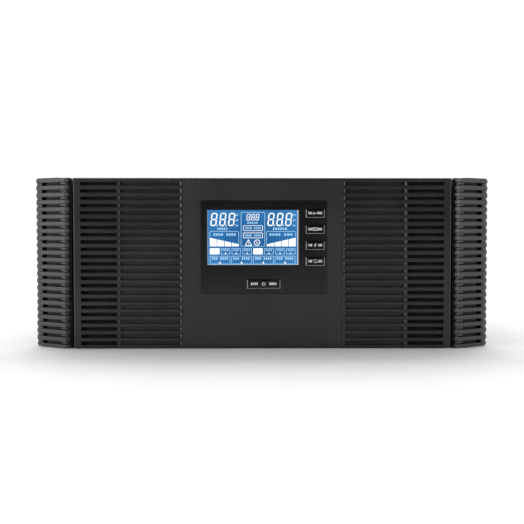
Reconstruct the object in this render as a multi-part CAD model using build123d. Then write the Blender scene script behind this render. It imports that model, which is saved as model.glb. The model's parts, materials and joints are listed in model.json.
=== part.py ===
from build123d import *
from math import cos, radians, sin, tan
import os

# Rack-mounted solar UPS, four rack units high, in millimetres.
# +X is to the right seen from the front, the front faces -Y, and +Z is up.
# The origin is on the surface the feet stand on, at the middle of the outline.

# ---------------------------------------------------------------- driving sizes
RACK_WIDTH = 482.6            # 19-inch panel width, over both end covers
PANEL_HEIGHT = 177.5          # just under four rack units of 44.45
RACK_HOLE_SPAN = 465.1        # rack hole columns, centre to centre
RACK_HOLE_RISE = 101.6        # rack hole rows of a four-unit panel
TOTAL_DEPTH = 426.0           # button faces to battery stud tips
FRONT_PROUD = 1.4             # button faces stand this far in front of the bezel
PANEL_LIFT = 1.0              # bezel's bottom edge above the floor

BEZEL_WIDTH = 393.0
BEZEL_DEPTH = 34.0
BEZEL_FACE = 4.6
BEZEL_WALL = 2.5
BEZEL_EDGE_RADIUS = 1.2
TOP_BEVEL_RISE = 1.1          # gentle slope along the front of the top edges
TOP_BEVEL_RUN = 6.0
END_GAP = 2.2                 # shadow gap between bezel and end covers
COVER_CORNER_RADIUS = 4.5
COVER_CORNER_CUT = 1.8
COVER_RIDGE = (205.4, 0.4)    # x, and depth behind the bezel's face
COVER_BEVEL_DEPTH = 5.5       # depth where the inner bevel starts
COVER_SLOPE = 31.8            # slanted face, degrees from the bezel's face
COVER_EDGE_RADIUS = 10.8      # round outer edge, seen from above
COVER_WALL = 2.5
COVER_FACE = 9.4              # thickness of the slanted face along Y
COVER_BACK_GAP = 0.3          # clearance in front of the rack ear
COVER_GROOVE = 1.7            # depth of the grooves round the cover
COVER_GROOVE_HEIGHT = 3.0
COVER_RIB_RADIUS = 0.7
COVER_SLIT = (1.0, 5.0)       # height and depth of the slit along the foot of each groove
COVER_POCKET_X = (226.0, 234.4)
COVER_POCKET_DEPTH = 6.6
COVER_RIM = 2.6               # plain band along the back of the outer side

ROW_COUNT = 23                # slots and grooves above each other
ROW_PITCH = 7.56
ROW_TOP_MARGIN = 6.5
SLOT_HEIGHT = 3.2
RIB_RADIUS = 0.9              # round edge of each rib
SLOT_X = (151.3, 189.0)       # open slots, measured from the middle
GROOVE_X = (84.3, 149.4)      # closed grooves, measured from the middle
GROOVE_DEPTH = 3.4
GROOVE_END_CHAMFER = (1.4, 0.8)   # width and depth of the bright bevel at each groove's end

PANEL_X = 83.4                # half width of the centre panel
PANEL_RECESS = 0.3
PANEL_RIM = 2.6               # bezel rim above and below the centre panel
PLATE_CENTRE_X = 1.0
PLATE_WIDTH = 131.4
PLATE_HEIGHT = 97.0
PLATE_TOP_MARGIN = 24.0
PLATE_PROUD = 0.8
PLATE_BACK = BEZEL_FACE + 1.8
PLATE_RADIUS = 2.0
PLATE_FLANGE = 3.0

WINDOW_X = (-57.4, 37.4)
WINDOW_TOP = 33.8             # below the bezel's top edge
WINDOW_HEIGHT = 57.4
WINDOW_BEVEL = 0.8
LENS_Y = (0.2, 1.5)
LCD_Y = (1.6, 4.4)
BACKLIGHT_Y = (PLATE_BACK + 0.5, PLATE_BACK + 4.7)
DISPLAY_BOARD_Y = (PLATE_BACK + 7.2, PLATE_BACK + 8.8)

KEY_CENTRE_X = 54.7
KEY_WIDTH = 17.8
KEY_HEIGHT = 7.8
KEY_TOPS = 37.1               # first key's middle, below the bezel's top edge
KEY_PITCH = 16.65
POWER_CENTRE_X = 1.1
POWER_WIDTH = 32.9
POWER_HEIGHT = 8.0
POWER_DROP = 110.6
KEY_CLEARANCE = 0.3
KEY_HOLE_BEVEL = 0.55
KEY_TRAVEL = 0.8
KEY_STEM_END = PLATE_BACK + 1.9
KEY_FLANGE = 1.0
SWITCH_TOP = KEY_STEM_END + KEY_TRAVEL + 0.3

CHASSIS_WIDTH = 438.0
CHASSIS_DEPTH = 366.0
CHASSIS_Z = (4.0, 172.0)
SHEET = 1.5
PLATE_THICK = 2.0             # rear panel thickness
EAR_THICK = 2.5
EAR_PLATE_LENGTH = 70.0
RACK_SLOT_RADIUS = 3.5
RACK_SLOT_LENGTH = 12.0

FAN_SIZE = 80.0
FAN_DEPTH = 25.0
FAN_BORE_RADIUS = 38.0
FAN_HOLE_PITCH = 71.5
FAN_CENTRES_X = (-160.0, -70.0)
FAN_CENTRE_Z = 112.0
FAN_BLADES = 7
FAN_BLADE_TIP = 36.5
FAN_HUB_RADIUS = 17.0
FAN_SHAFT_RADIUS = 1.5
RUNNING_FIT = 0.05
GUARD_EYE = 2.1               # thickness of the eyes of the wire guards

BREAKER_CENTRE = (6.0, 118.0)
BREAKER_SIZE = (30.0, 52.0)
BREAKER_PROUD = 6.0
BREAKER_TILT = 25.0
BREAKER_HUB_RADIUS = 6.0

BATTERY_XS = (120.0, 178.0)   # negative, positive
BATTERY_Z = 118.0
BATTERY_STUD_RADIUS = 4.0
BATTERY_STUD_FREE = 14.0
EARTH_CENTRE = (196.0, 30.0)
EARTH_STUD_RADIUS = 2.5
EARTH_STUD_FREE = 9.0

TERMINAL_X = 120.0
TERMINAL_Z = 44.0
TERMINAL_WAYS = 6
TERMINAL_PITCH = 12.0
TERMINAL_ENTRY = 6.4
PORT_CENTRE = (8.0, 44.0)

TOROID_CENTRE = (-95.0, 25.0)
TOROID_OUTER = 72.0
TOROID_INNER = 24.0
TOROID_HEIGHT = 66.0

# ---------------------------------------------------------------- derived places
FRONT = FRONT_PROUD - TOTAL_DEPTH / 2          # y of the bezel's face
CHASSIS_FRONT = FRONT + BEZEL_DEPTH
CHASSIS_BACK = CHASSIS_FRONT + CHASSIS_DEPTH
REAR_TIP = TOTAL_DEPTH / 2
PANEL_Z = (PANEL_LIFT, PANEL_LIFT + PANEL_HEIGHT)
PANEL_MIDDLE_Z = sum(PANEL_Z) / 2
INSIDE_FLOOR = CHASSIS_Z[0] + SHEET
HALF_CHASSIS = CHASSIS_WIDTH / 2
ROW_ZS = [PANEL_Z[1] - ROW_TOP_MARGIN - ROW_PITCH * row for row in range(ROW_COUNT)]
PLATE_MIDDLE_Z = PANEL_Z[1] - PLATE_TOP_MARGIN - PLATE_HEIGHT / 2
WINDOW_Z = (PANEL_Z[1] - WINDOW_TOP - WINDOW_HEIGHT, PANEL_Z[1] - WINDOW_TOP)
KEY_NAMES = ("enter_button", "battery_button", "charge_button", "mode_button")
KEY_ZS = [PANEL_Z[1] - KEY_TOPS - KEY_PITCH * key for key in range(len(KEY_NAMES))]
POWER_Z = PANEL_Z[1] - POWER_DROP
COVER_X = (BEZEL_WIDTH / 2 + END_GAP, RACK_WIDTH / 2)
EAR_Y = (CHASSIS_FRONT, CHASSIS_FRONT + EAR_THICK)
FOOT_CENTRES = [(x, y) for x in (-185.0, 185.0) for y in (CHASSIS_FRONT + 32, CHASSIS_BACK - 32)]


# ---------------------------------------------------------------- helpers
def block(x, y, z):
    """A box between two limits on each axis."""
    size = [high - low for low, high in (x, y, z)]
    middle = [(low + high) / 2 for low, high in (x, y, z)]
    return Pos(*middle) * Box(*size)


def plate_y(depth, thickness):
    """The y limits of a layer that starts at a depth behind the bezel's face."""
    return (FRONT + depth, FRONT + depth + thickness)


def rod(x, z, radius, y):
    """A round bar along Y between two y limits."""
    middle = (y[0] + y[1]) / 2
    return Pos(x, middle, z) * Rot(X=90) * Cylinder(radius, y[1] - y[0])


def post(x, y, radius, z):
    """A round bar along Z between two z limits."""
    return Pos(x, y, (z[0] + z[1]) / 2) * Cylinder(radius, z[1] - z[0])


def pin_x(y, z, radius, x):
    """A round bar along X between two x limits."""
    return Pos((x[0] + x[1]) / 2, y, z) * Rot(Y=90) * Cylinder(radius, x[1] - x[0])


def hex_prism(x, z, across_flats, y):
    """A hexagonal nut body along Y."""
    outline = RegularPolygon(across_flats / 2, 6, major_radius=False)
    return Pos(x, y[1], z) * Rot(X=90) * extrude(outline, y[1] - y[0])


def rounded_block(x, y, z, radius):
    """A box with its four edges along Y rounded."""
    solid = block(x, y, z)
    return fillet(solid.edges().filter_by(Axis.Y), radius)


def pan_screw(x, y, z, turn, head=3.5, thread=1.9, length=6.0):
    """A cross-recess pan-head screw; unturned, its head faces +Z with its seat at z."""
    dome = Pos(0, 0, 1.1) * Cylinder(head, 2.2)
    dome = fillet(dome.edges().sort_by(Axis.Z)[-1], 1.3)
    shank = Pos(0, 0, -length / 2) * Cylinder(thread, length)
    cross = Pos(0, 0, 2.0) * (Box(3.6, 0.9, 1.4) + Box(0.9, 3.6, 1.4))
    return Pos(x, y, z) * turn * (dome + shank - cross)


FACE_BACK = Rot(X=-90)
FACE_RIGHT = Rot(Y=90)
FACE_LEFT = Rot(Y=-90)
FACE_UP = Rot()


def export(node, *solids):
    """Write one node; a node of alike pieces holds them as separate solids."""
    shape = solids[0] if len(solids) == 1 else Compound(children=list(solids))
    export_step(shape, f"parts/{node}.step")


def rib_gap_section(depth, height=SLOT_HEIGHT, radius=RIB_RADIUS):
    """The gap between two ribs, drawn as (depth, height), with the ribs' front edges rounded."""
    half = height / 2
    throat = Pos(depth / 2, 0) * Rectangle(depth, height)
    mouth = Pos(radius / 2 - 0.5, 0) * Rectangle(radius + 1, 2 * (half + radius))
    for side in (-1, 1):
        mouth -= Pos(radius, side * (half + radius)) * Circle(radius)
    return throat + mouth


def rib_gap(x, z, depth, face_y):
    """A gap cutter from x[0] to x[1] at height z, starting at the face."""
    section = Plane(origin=(x[0], face_y, z), x_dir=(0, 1, 0), z_dir=(1, 0, 0)) * rib_gap_section(depth)
    return extrude(section, x[1] - x[0])


# ---------------------------------------------------------------- front
def front_bezel():
    """Moulded front: open slots by the ends, closed grooves beside the centre panel."""
    half = BEZEL_WIDTH / 2
    shell = block((-half, half), plate_y(0, BEZEL_DEPTH), PANEL_Z) - top_bevel(half + 1)
    shell = fillet(shell.edges().group_by(Axis.Y)[0], BEZEL_EDGE_RADIUS)
    inner = (PANEL_Z[0] + BEZEL_WALL, PANEL_Z[1] - BEZEL_WALL)
    shell -= block((-half + BEZEL_WALL, half - BEZEL_WALL), plate_y(BEZEL_FACE, BEZEL_DEPTH), inner)
    opening = (PANEL_Z[0] + PANEL_RIM, PANEL_Z[1] - PANEL_RIM)
    shell -= block((-PANEL_X, PANEL_X), plate_y(-1, BEZEL_FACE + 2), opening)
    cutters = []
    for z in ROW_ZS:
        for side in (-1, 1):
            slot_x = sorted(side * x for x in SLOT_X)
            cutters.append(rib_gap(slot_x, z, BEZEL_FACE + 1, FRONT))
            groove_x = sorted(side * x for x in GROOVE_X)
            groove = rib_gap(groove_x, z, GROOVE_DEPTH, FRONT)
            cutters.append(groove & groove_limits(groove_x, z))
    shell -= cutters
    for x, z in bezel_screw_places():
        boss = rod(x, z, 4.0, plate_y(BEZEL_FACE, BEZEL_DEPTH - BEZEL_FACE))
        shell += boss - rod(x, z, 1.4, plate_y(BEZEL_DEPTH - 12, 12))
    return shell


def top_bevel(reach):
    """The wedge that is cut off along the front of the top edge, from -reach to reach in X."""
    top = PANEL_Z[1]
    section = Polyline(
        (FRONT - 1, top - TOP_BEVEL_RISE * (1 + 1 / TOP_BEVEL_RUN)),
        (FRONT + TOP_BEVEL_RUN, top),
        (FRONT + TOP_BEVEL_RUN, top + 1),
        (FRONT - 1, top + 1),
        close=True,
    )
    side_view = Plane(origin=(-reach, 0, 0), x_dir=(0, 1, 0), z_dir=(1, 0, 0))
    return extrude(side_view * make_face(section), 2 * reach)


def groove_limits(x, z):
    """A prism with bevelled ends, so that both ends of a groove catch the light."""
    width, depth = GROOVE_END_CHAMFER
    outline = Polyline(
        (x[0], FRONT - 1),
        (x[0], FRONT),
        (x[0] + width, FRONT + depth),
        (x[0] + width, FRONT + GROOVE_DEPTH),
        (x[1] - width, FRONT + GROOVE_DEPTH),
        (x[1] - width, FRONT + depth),
        (x[1], FRONT),
        (x[1], FRONT - 1),
        close=True,
    )
    return extrude(Pos(0, 0, z - ROW_PITCH / 2) * make_face(outline), ROW_PITCH)


def bezel_screw_places():
    """Self-tapping screws come through the front plate into the bezel's bosses."""
    return [(x, z) for x in (-143.0, 143.0) for z in (PANEL_Z[0] + 10.5, PANEL_Z[1] - 13.5)]


def centre_panel():
    """Smooth insert that carries the display plate."""
    gap = 0.1
    z = (PANEL_Z[0] + PANEL_RIM + gap, PANEL_Z[1] - PANEL_RIM - gap)
    x = (-PANEL_X + gap, PANEL_X - gap)
    panel = block(x, plate_y(PANEL_RECESS, BEZEL_FACE - PANEL_RECESS), z)
    back_x = (x[0] - 3, x[1] + 3)
    panel += block(back_x, plate_y(BEZEL_FACE, 0.4), z)
    panel -= plate_block((-2, 8), 0.1)
    return panel


def plate_block(depths, margin, radius=PLATE_RADIUS):
    """The display plate's outline, grown by a margin, between two depths."""
    half = PLATE_WIDTH / 2 + margin
    x = (PLATE_CENTRE_X - half, PLATE_CENTRE_X + half)
    z_half = PLATE_HEIGHT / 2 + margin
    z = (PLATE_MIDDLE_Z - z_half, PLATE_MIDDLE_Z + z_half)
    return rounded_block(x, plate_y(depths[0], depths[1] - depths[0]), z, radius)


def key_outline(centre_x, centre_z, width, height, depths, margin):
    """A key's rounded outline, grown by a margin, between two depths."""
    x = (centre_x - width / 2 - margin, centre_x + width / 2 + margin)
    z = (centre_z - height / 2 - margin, centre_z + height / 2 + margin)
    return rounded_block(x, plate_y(depths[0], depths[1] - depths[0]), z, 0.6 + max(margin, 0))


def all_keys():
    """Every key: name, middle and size of its hole."""
    keys = [(n, KEY_CENTRE_X, z, KEY_WIDTH, KEY_HEIGHT) for n, z in zip(KEY_NAMES, KEY_ZS)]
    keys.append(("power_button", POWER_CENTRE_X, POWER_Z, POWER_WIDTH, POWER_HEIGHT))
    return keys


def display_plate():
    """Black frame with the window and the key holes, held by a flange behind the panel."""
    plate = plate_block((-PLATE_PROUD, PLATE_BACK), 0)
    plate = chamfer(plate.faces().sort_by(Axis.Y)[0].edges(), 0.35)
    plate += plate_block((BEZEL_FACE + 0.4, PLATE_BACK), PLATE_FLANGE)
    plate -= block(WINDOW_X, plate_y(-2, PLATE_BACK + 4), WINDOW_Z)
    bevel_x = (WINDOW_X[0] - WINDOW_BEVEL, WINDOW_X[1] + WINDOW_BEVEL)
    bevel_z = (WINDOW_Z[0] - WINDOW_BEVEL, WINDOW_Z[1] + WINDOW_BEVEL)
    bevel = block(bevel_x, plate_y(-PLATE_PROUD, WINDOW_BEVEL), bevel_z)
    plate -= chamfer(bevel.faces().sort_by(Axis.Y)[-1].edges(), WINDOW_BEVEL - 0.01)
    for _, x, z, width, height in all_keys():
        plate -= key_outline(x, z, width, height, (-2, PLATE_BACK + 2), 0)
        mouth_depths = (-PLATE_PROUD, KEY_HOLE_BEVEL - PLATE_PROUD)
        mouth = key_outline(x, z, width, height, mouth_depths, KEY_HOLE_BEVEL)
        plate -= chamfer(mouth.faces().sort_by(Axis.Y)[-1].edges(), KEY_HOLE_BEVEL - 0.01)
    return plate


def key_cap(centre_x, centre_z, width, height):
    """Key cap with its retaining flange and the stem that presses the switch."""
    cap = key_outline(centre_x, centre_z, width, height, (-FRONT_PROUD, PLATE_BACK + 0.4), -KEY_CLEARANCE)
    cap = fillet(cap.faces().sort_by(Axis.Y)[0].edges(), 0.35)
    flange_depths = (PLATE_BACK + 0.3, PLATE_BACK + 1.1)
    cap += key_outline(centre_x, centre_z, width, height, flange_depths, KEY_FLANGE)
    cap += rod(centre_x, centre_z, 1.5, plate_y(PLATE_BACK + 1, KEY_STEM_END - PLATE_BACK - 1))
    return cap


def button_switches():
    """One push switch on the display board behind each key."""
    switches = []
    for _, x, z, _, _ in all_keys():
        low = DISPLAY_BOARD_Y[0]
        body = block((x - 3, x + 3), plate_y(low - 3, 3), (z - 3, z + 3))
        plunger = rod(x, z, 1.6, plate_y(SWITCH_TOP, low - 3 - SWITCH_TOP))
        switches.append(body + plunger)
    return switches


def window_layer(depths, inset):
    """A layer that fills the display window, less an inset all round."""
    x = (WINDOW_X[0] + inset, WINDOW_X[1] - inset)
    z = (WINDOW_Z[0] + inset, WINDOW_Z[1] - inset)
    return block(x, plate_y(depths[0], depths[1] - depths[0]), z)


def lcd_frame():
    """Bent metal frame that clamps the display glass to the board."""
    outer = window_layer((PLATE_BACK + 0.05, DISPLAY_BOARD_Y[0]), -2.4)
    outer -= window_layer((PLATE_BACK - 1, PLATE_BACK + 0.3), 2.0)
    return outer - window_layer((PLATE_BACK + 0.3, DISPLAY_BOARD_Y[0] + 1), -1.6)


def display_screw_places():
    """The display board's four screws, outside the plate's flange."""
    half_x = PLATE_WIDTH / 2 + 8
    half_z = PLATE_HEIGHT / 2 - 6
    return [(PLATE_CENTRE_X + i * half_x, PLATE_MIDDLE_Z + j * half_z) for i in (-1, 1) for j in (-1, 1)]


def display_board():
    """Printed circuit board behind the centre panel."""
    half_x = PLATE_WIDTH / 2 + 12
    half_z = PLATE_HEIGHT / 2 + 1
    x = (PLATE_CENTRE_X - half_x, PLATE_CENTRE_X + half_x)
    z = (PLATE_MIDDLE_Z - half_z, PLATE_MIDDLE_Z + half_z)
    board = block(x, plate_y(DISPLAY_BOARD_Y[0], DISPLAY_BOARD_Y[1] - DISPLAY_BOARD_Y[0]), z)
    for sx, sz in display_screw_places():
        board -= rod(sx, sz, 1.7, plate_y(0, 30))
    return board


def display_screws():
    """Shouldered screws that space the display board from the centre panel."""
    screws = []
    for x, z in display_screw_places():
        screw = pan_screw(x, FRONT + DISPLAY_BOARD_Y[1], z, FACE_BACK, 3.0, 1.4, 6.0)
        screw += rod(x, z, 3.2, plate_y(BEZEL_FACE + 0.4, DISPLAY_BOARD_Y[0] - BEZEL_FACE - 0.4))
        screws.append(screw)
    return screws


def dust_filters():
    """Foam sheets behind the open slots at both ends."""
    y = plate_y(BEZEL_FACE + 0.5, 5.0)
    z = (PANEL_Z[0] + BEZEL_WALL + 0.1, PANEL_Z[1] - BEZEL_WALL - 0.1)
    return [block(sorted((side * 148.0, side * 192.5)), y, z) for side in (-1, 1)]


# ---------------------------------------------------------------- end covers and ears
def cover_outline(extra_back=0.0):
    """The right end cover seen from above: an inner bevel, a slanted face and a round outer edge."""
    inner, outer = COVER_X
    back = CHASSIS_FRONT - COVER_BACK_GAP + extra_back
    rise = tan(radians(COVER_SLOPE))
    corner_y = FRONT + COVER_RIDGE[1] + (outer - COVER_RIDGE[0]) * rise
    outline = Polyline(
        (outer, back),
        (inner, back),
        (inner, FRONT + COVER_BEVEL_DEPTH),
        (COVER_RIDGE[0], FRONT + COVER_RIDGE[1]),
        (outer, corner_y),
        close=True,
    )
    face = make_face(outline)
    corner = face.vertices().sort_by_distance((outer, corner_y, 0))[0]
    return fillet(corner, COVER_EDGE_RADIUS)


def cover_silhouette():
    """The right cover's front view: round outer corners and cut inner corners, as a prism along Y."""
    width = COVER_X[1] - COVER_X[0]
    outline = Rectangle(width, PANEL_HEIGHT)
    outline = fillet(outline.vertices().group_by(Axis.X)[-1], COVER_CORNER_RADIUS)
    outline = chamfer(outline.vertices().group_by(Axis.X)[0], COVER_CORNER_CUT)
    front_view = Plane(
        origin=(sum(COVER_X) / 2, CHASSIS_FRONT + 1, PANEL_MIDDLE_Z), x_dir=(1, 0, 0), z_dir=(0, -1, 0)
    )
    return extrude(front_view * outline, BEZEL_DEPTH + 2)


def cover_cavity():
    """The hollow behind the right cover's face, open at the back."""
    hollow = offset(cover_outline(2 * COVER_WALL), -COVER_WALL, kind=Kind.INTERSECTION)
    hollow &= Pos(0, COVER_FACE, 0) * cover_outline(2 * COVER_WALL)
    return extrude(Pos(0, 0, PANEL_Z[0] + COVER_WALL) * hollow, PANEL_HEIGHT - 2 * COVER_WALL)


def along_face(start, direction, length, section, z):
    """A section carried along a face: its x goes into the face and its y goes up."""
    inward = Vector(-direction.Y, direction.X)
    place = (start.X, start.Y, z)
    frame = Plane(origin=place, x_dir=(inward.X, inward.Y, 0), z_dir=(direction.X, direction.Y, 0))
    return extrude(frame * section, length)


def cover_groove(z):
    """One groove round the right cover: along the bevel, the slanted face and the round outer edge."""
    inner, outer = COVER_X
    ridge = Vector(COVER_RIDGE[0], FRONT + COVER_RIDGE[1])
    corner = Vector(inner, FRONT + COVER_BEVEL_DEPTH)
    slope = Vector(cos(radians(COVER_SLOPE)), sin(radians(COVER_SLOPE)))
    bevel = (ridge - corner).normalized()
    tangent = COVER_EDGE_RADIUS * tan(radians(90 - COVER_SLOPE) / 2)
    face_length = (outer - ridge.X) / slope.X - tangent
    gap = rib_gap_section(COVER_GROOVE, COVER_GROOVE_HEIGHT, COVER_RIB_RADIUS)
    cutters = [along_face(ridge - slope * 1.0, slope, face_length + 1.0, gap, z)]
    cutters.append(along_face(corner + bevel * 1.6, bevel, (ridge - corner).length - 1.6, gap, z))
    start = ridge + slope * face_length
    middle = start + Vector(-slope.Y, slope.X) * COVER_EDGE_RADIUS
    frame = Plane(origin=(start.X, start.Y, z), x_dir=(-slope.Y, slope.X, 0), z_dir=(slope.X, slope.Y, 0))
    axle = Axis((middle.X, middle.Y, z), (0, 0, 1))
    cutters.append(revolve(frame * gap, axle, 90 - COVER_SLOPE))
    side = Vector(outer, middle.Y)
    side_length = CHASSIS_FRONT - COVER_BACK_GAP - COVER_RIM - middle.Y
    cutters.append(along_face(side, Vector(0, 1), side_length, gap, z))
    return cutters


def cover_openings(z):
    """The slit along the foot of one groove and the deep pocket at its outer end."""
    ridge = Vector(COVER_RIDGE[0], FRONT + COVER_RIDGE[1])
    slope = Vector(cos(radians(COVER_SLOPE)), sin(radians(COVER_SLOPE)))
    height, depth = COVER_SLIT
    slit = Pos(depth / 2, (height - COVER_GROOVE_HEIGHT) / 2) * Rectangle(depth, height)
    starts = [(x - COVER_RIDGE[0]) / slope.X for x in COVER_POCKET_X]
    pocket = Pos(COVER_POCKET_DEPTH / 2, 0) * Rectangle(COVER_POCKET_DEPTH, COVER_GROOVE_HEIGHT)
    return [
        along_face(ridge + slope * 0.8, slope, starts[0], slit, z),
        along_face(ridge + slope * starts[0], slope, starts[1] - starts[0], pocket, z),
    ]


def end_cover(side):
    """Ribbed cover that pulls off forwards to reach the rack screws."""
    body = extrude(Pos(0, 0, PANEL_Z[0]) * cover_outline(), PANEL_HEIGHT)
    body &= cover_silhouette()
    body -= top_bevel(RACK_WIDTH / 2 + 1)
    body -= cover_cavity()
    for z in ROW_ZS:
        body -= cover_groove(z) + cover_openings(z)
    lug_y = (CHASSIS_FRONT - 14, CHASSIS_FRONT - COVER_BACK_GAP)
    for z in (PANEL_Z[0] + 30, PANEL_Z[1] - 30):
        body += block((COVER_X[0] + 1, COVER_X[0] + 8), lug_y, (z - 4, z + 4))
    return body if side > 0 else mirror(body, about=Plane.YZ)


def rack_ear(side):
    """Steel angle bracket with two slots for the rack screws."""
    inner = HALF_CHASSIS
    outer = RACK_WIDTH / 2 - 0.6
    z = (PANEL_MIDDLE_Z - 80, PANEL_MIDDLE_Z + 80)
    flange = block((inner, outer), EAR_Y, z)
    arm = block((inner, inner + EAR_THICK), (EAR_Y[0], EAR_Y[0] + EAR_PLATE_LENGTH), z)
    arm -= block((inner - 1, inner + 9), (EAR_Y[0] + 30, EAR_Y[0] + 90), (z[0] - 1, z[0] + 36))
    arm -= block((inner - 1, inner + 9), (EAR_Y[0] + 30, EAR_Y[0] + 90), (z[1] - 36, z[1] + 1))
    ear = flange + arm
    for rise in (-1, 1):
        middle_z = PANEL_MIDDLE_Z + rise * RACK_HOLE_RISE / 2
        reach = RACK_SLOT_LENGTH / 2 - RACK_SLOT_RADIUS
        x = (RACK_HOLE_SPAN / 2 - reach, RACK_HOLE_SPAN / 2 + reach)
        slot_z = (middle_z - RACK_SLOT_RADIUS, middle_z + RACK_SLOT_RADIUS)
        ear -= block(x, (EAR_Y[0] - 1, EAR_Y[1] + 1), slot_z)
        for end_x in x:
            ear -= rod(end_x, middle_z, RACK_SLOT_RADIUS, (EAR_Y[0] - 1, EAR_Y[1] + 1))
    for y, z_hole in ear_screw_places():
        ear -= pin_x(y, z_hole, 2.1, (inner - 1, inner + 9))
    return ear if side > 0 else mirror(ear, about=Plane.YZ)


def ear_screw_places():
    """Three screws hold each ear to the chassis side."""
    front_row = EAR_Y[0] + 17
    return [(front_row, 50.0), (front_row, 129.0), (EAR_Y[0] + 56, PANEL_MIDDLE_Z)]


def ear_screws():
    """Screws through both ears into the chassis sides."""
    screws = []
    for y, z in ear_screw_places():
        seat = HALF_CHASSIS + EAR_THICK
        screws.append(pan_screw(seat, y, z, FACE_RIGHT))
        screws.append(pan_screw(-seat, y, z, FACE_LEFT))
    return screws


# ---------------------------------------------------------------- chassis
RAIL_YS = (CHASSIS_FRONT + 150.0, CHASSIS_FRONT + 300.0)
RAIL_ZS = (66.0, 116.0)
VENT_YS = [CHASSIS_FRONT + 180 + 9.0 * step for step in range(10)]
COVER_SCREW_YS = (CHASSIS_FRONT + 40.0, CHASSIS_FRONT + 185.0, CHASSIS_FRONT + 330.0)


def chassis_tray():
    """Folded steel pan: floor, both sides and the flanges that carry the lid."""
    x = (-HALF_CHASSIS, HALF_CHASSIS)
    y = (CHASSIS_FRONT + SHEET, CHASSIS_BACK - PLATE_THICK)
    top = CHASSIS_Z[1] - SHEET
    tray = block(x, y, (CHASSIS_Z[0], top))
    tray -= block((x[0] + SHEET, x[1] - SHEET), (y[0] - 1, y[1] + 1), (INSIDE_FLOOR, top + 1))
    for side in (-1, 1):
        flange_x = sorted((side * (HALF_CHASSIS - 12), side * (HALF_CHASSIS - SHEET / 2)))
        tray += block(flange_x, y, (top - SHEET, top))
        wall_x = sorted((side * (HALF_CHASSIS - 3), side * (HALF_CHASSIS + 1)))
        for vent_y in VENT_YS:
            for low in (28.0, 128.0):
                tray -= block(wall_x, (vent_y - 1.6, vent_y + 1.6), (low, low + 26))
        for rail_y in RAIL_YS:
            for rail_z in RAIL_ZS:
                tray -= pin_x(rail_y, rail_z, 2.1, wall_x)
        for y_hole, z_hole in ear_screw_places():
            tray -= pin_x(y_hole, z_hole, 1.9, wall_x)
        for screw_y in COVER_SCREW_YS:
            tray -= post(side * (HALF_CHASSIS - 7), screw_y, 1.9, (top - 3, top + 1))
    for foot_x, foot_y in FOOT_CENTRES:
        tray -= post(foot_x, foot_y, 2.0, (CHASSIS_Z[0] - 1, INSIDE_FLOOR + 1))
    for row in range(6):
        for column in range(8):
            hole_x = -130 + 10.0 * column
            tray -= post(hole_x, CHASSIS_BACK - 75 + 10.0 * row, 1.9, (CHASSIS_Z[0] - 1, INSIDE_FLOOR + 1))
    return tray


def front_plate():
    """Steel plate behind the bezel, open for the display board and the air inlets."""
    x = (-HALF_CHASSIS, HALF_CHASSIS)
    y = (CHASSIS_FRONT, CHASSIS_FRONT + SHEET)
    plate = block(x, y, (CHASSIS_Z[0], CHASSIS_Z[1] - SHEET))
    cut = (y[0] - 1, y[1] + 1)
    plate -= block((-80, 84), cut, (55, 160))
    for side in (-1, 1):
        inlet_x = sorted((side * 150.0, side * 190.0))
        for row in range(ROW_COUNT - 5):
            z = ROW_ZS[row + 2]
            plate -= block(inlet_x, cut, (z - 1.8, z + 1.8))
    for hole_x, hole_z in bezel_screw_places():
        plate -= rod(hole_x, hole_z, 1.9, cut)
    return plate


def bezel_screws():
    """Screws from inside, through the front plate into the bezel."""
    y = CHASSIS_FRONT + SHEET
    return [pan_screw(x, y, z, FACE_BACK, 3.2, 1.4, 8.0) for x, z in bezel_screw_places()]


def top_cover():
    """Flat steel lid with folded edges over the sides."""
    x = (-HALF_CHASSIS, HALF_CHASSIS)
    y = (CHASSIS_FRONT, CHASSIS_BACK)
    lid = block(x, y, (CHASSIS_Z[1] - SHEET, CHASSIS_Z[1]))
    lid = fillet(lid.edges().filter_by(Axis.Y).group_by(Axis.Z)[-1], 1.0)
    for side in (-1, 1):
        for screw_y in COVER_SCREW_YS:
            lid -= post(side * (HALF_CHASSIS - 7), screw_y, 2.2, (CHASSIS_Z[1] - 3, CHASSIS_Z[1] + 1))
    for side in (-1, 1):
        for step in range(14):
            vent_y = CHASSIS_FRONT + 120 + 9.0 * step
            for bank in (0, 1):
                low = 62.0 + 64.0 * bank
                vent_x = sorted((side * low, side * (low + 52)))
                lid -= block(vent_x, (vent_y - 1.6, vent_y + 1.6), (CHASSIS_Z[1] - 3, CHASSIS_Z[1] + 1))
    return lid


def cover_screws():
    """Screws that hold the lid."""
    places = [(side * (HALF_CHASSIS - 7), y) for side in (-1, 1) for y in COVER_SCREW_YS]
    return [pan_screw(x, y, CHASSIS_Z[1], FACE_UP) for x, y in places]


def rubber_feet():
    """Four round feet, each with a recess for its screw."""
    feet = []
    for x, y in FOOT_CENTRES:
        foot = post(x, y, 9.0, (0, CHASSIS_Z[0]))
        foot = chamfer(foot.edges().sort_by(Axis.Z)[0], 0.8)
        foot -= post(x, y, 4.0, (-1, 2.4))
        feet.append(foot - post(x, y, 1.9, (0, CHASSIS_Z[0] + 1)))
    return feet


def foot_screws():
    """Countersunk screws up through the feet into the floor."""
    screws = []
    for x, y in FOOT_CENTRES:
        screws.append(post(x, y, 3.6, (1.0, 2.4)) + post(x, y, 1.8, (2.4, INSIDE_FLOOR + 4)))
    return screws


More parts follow.
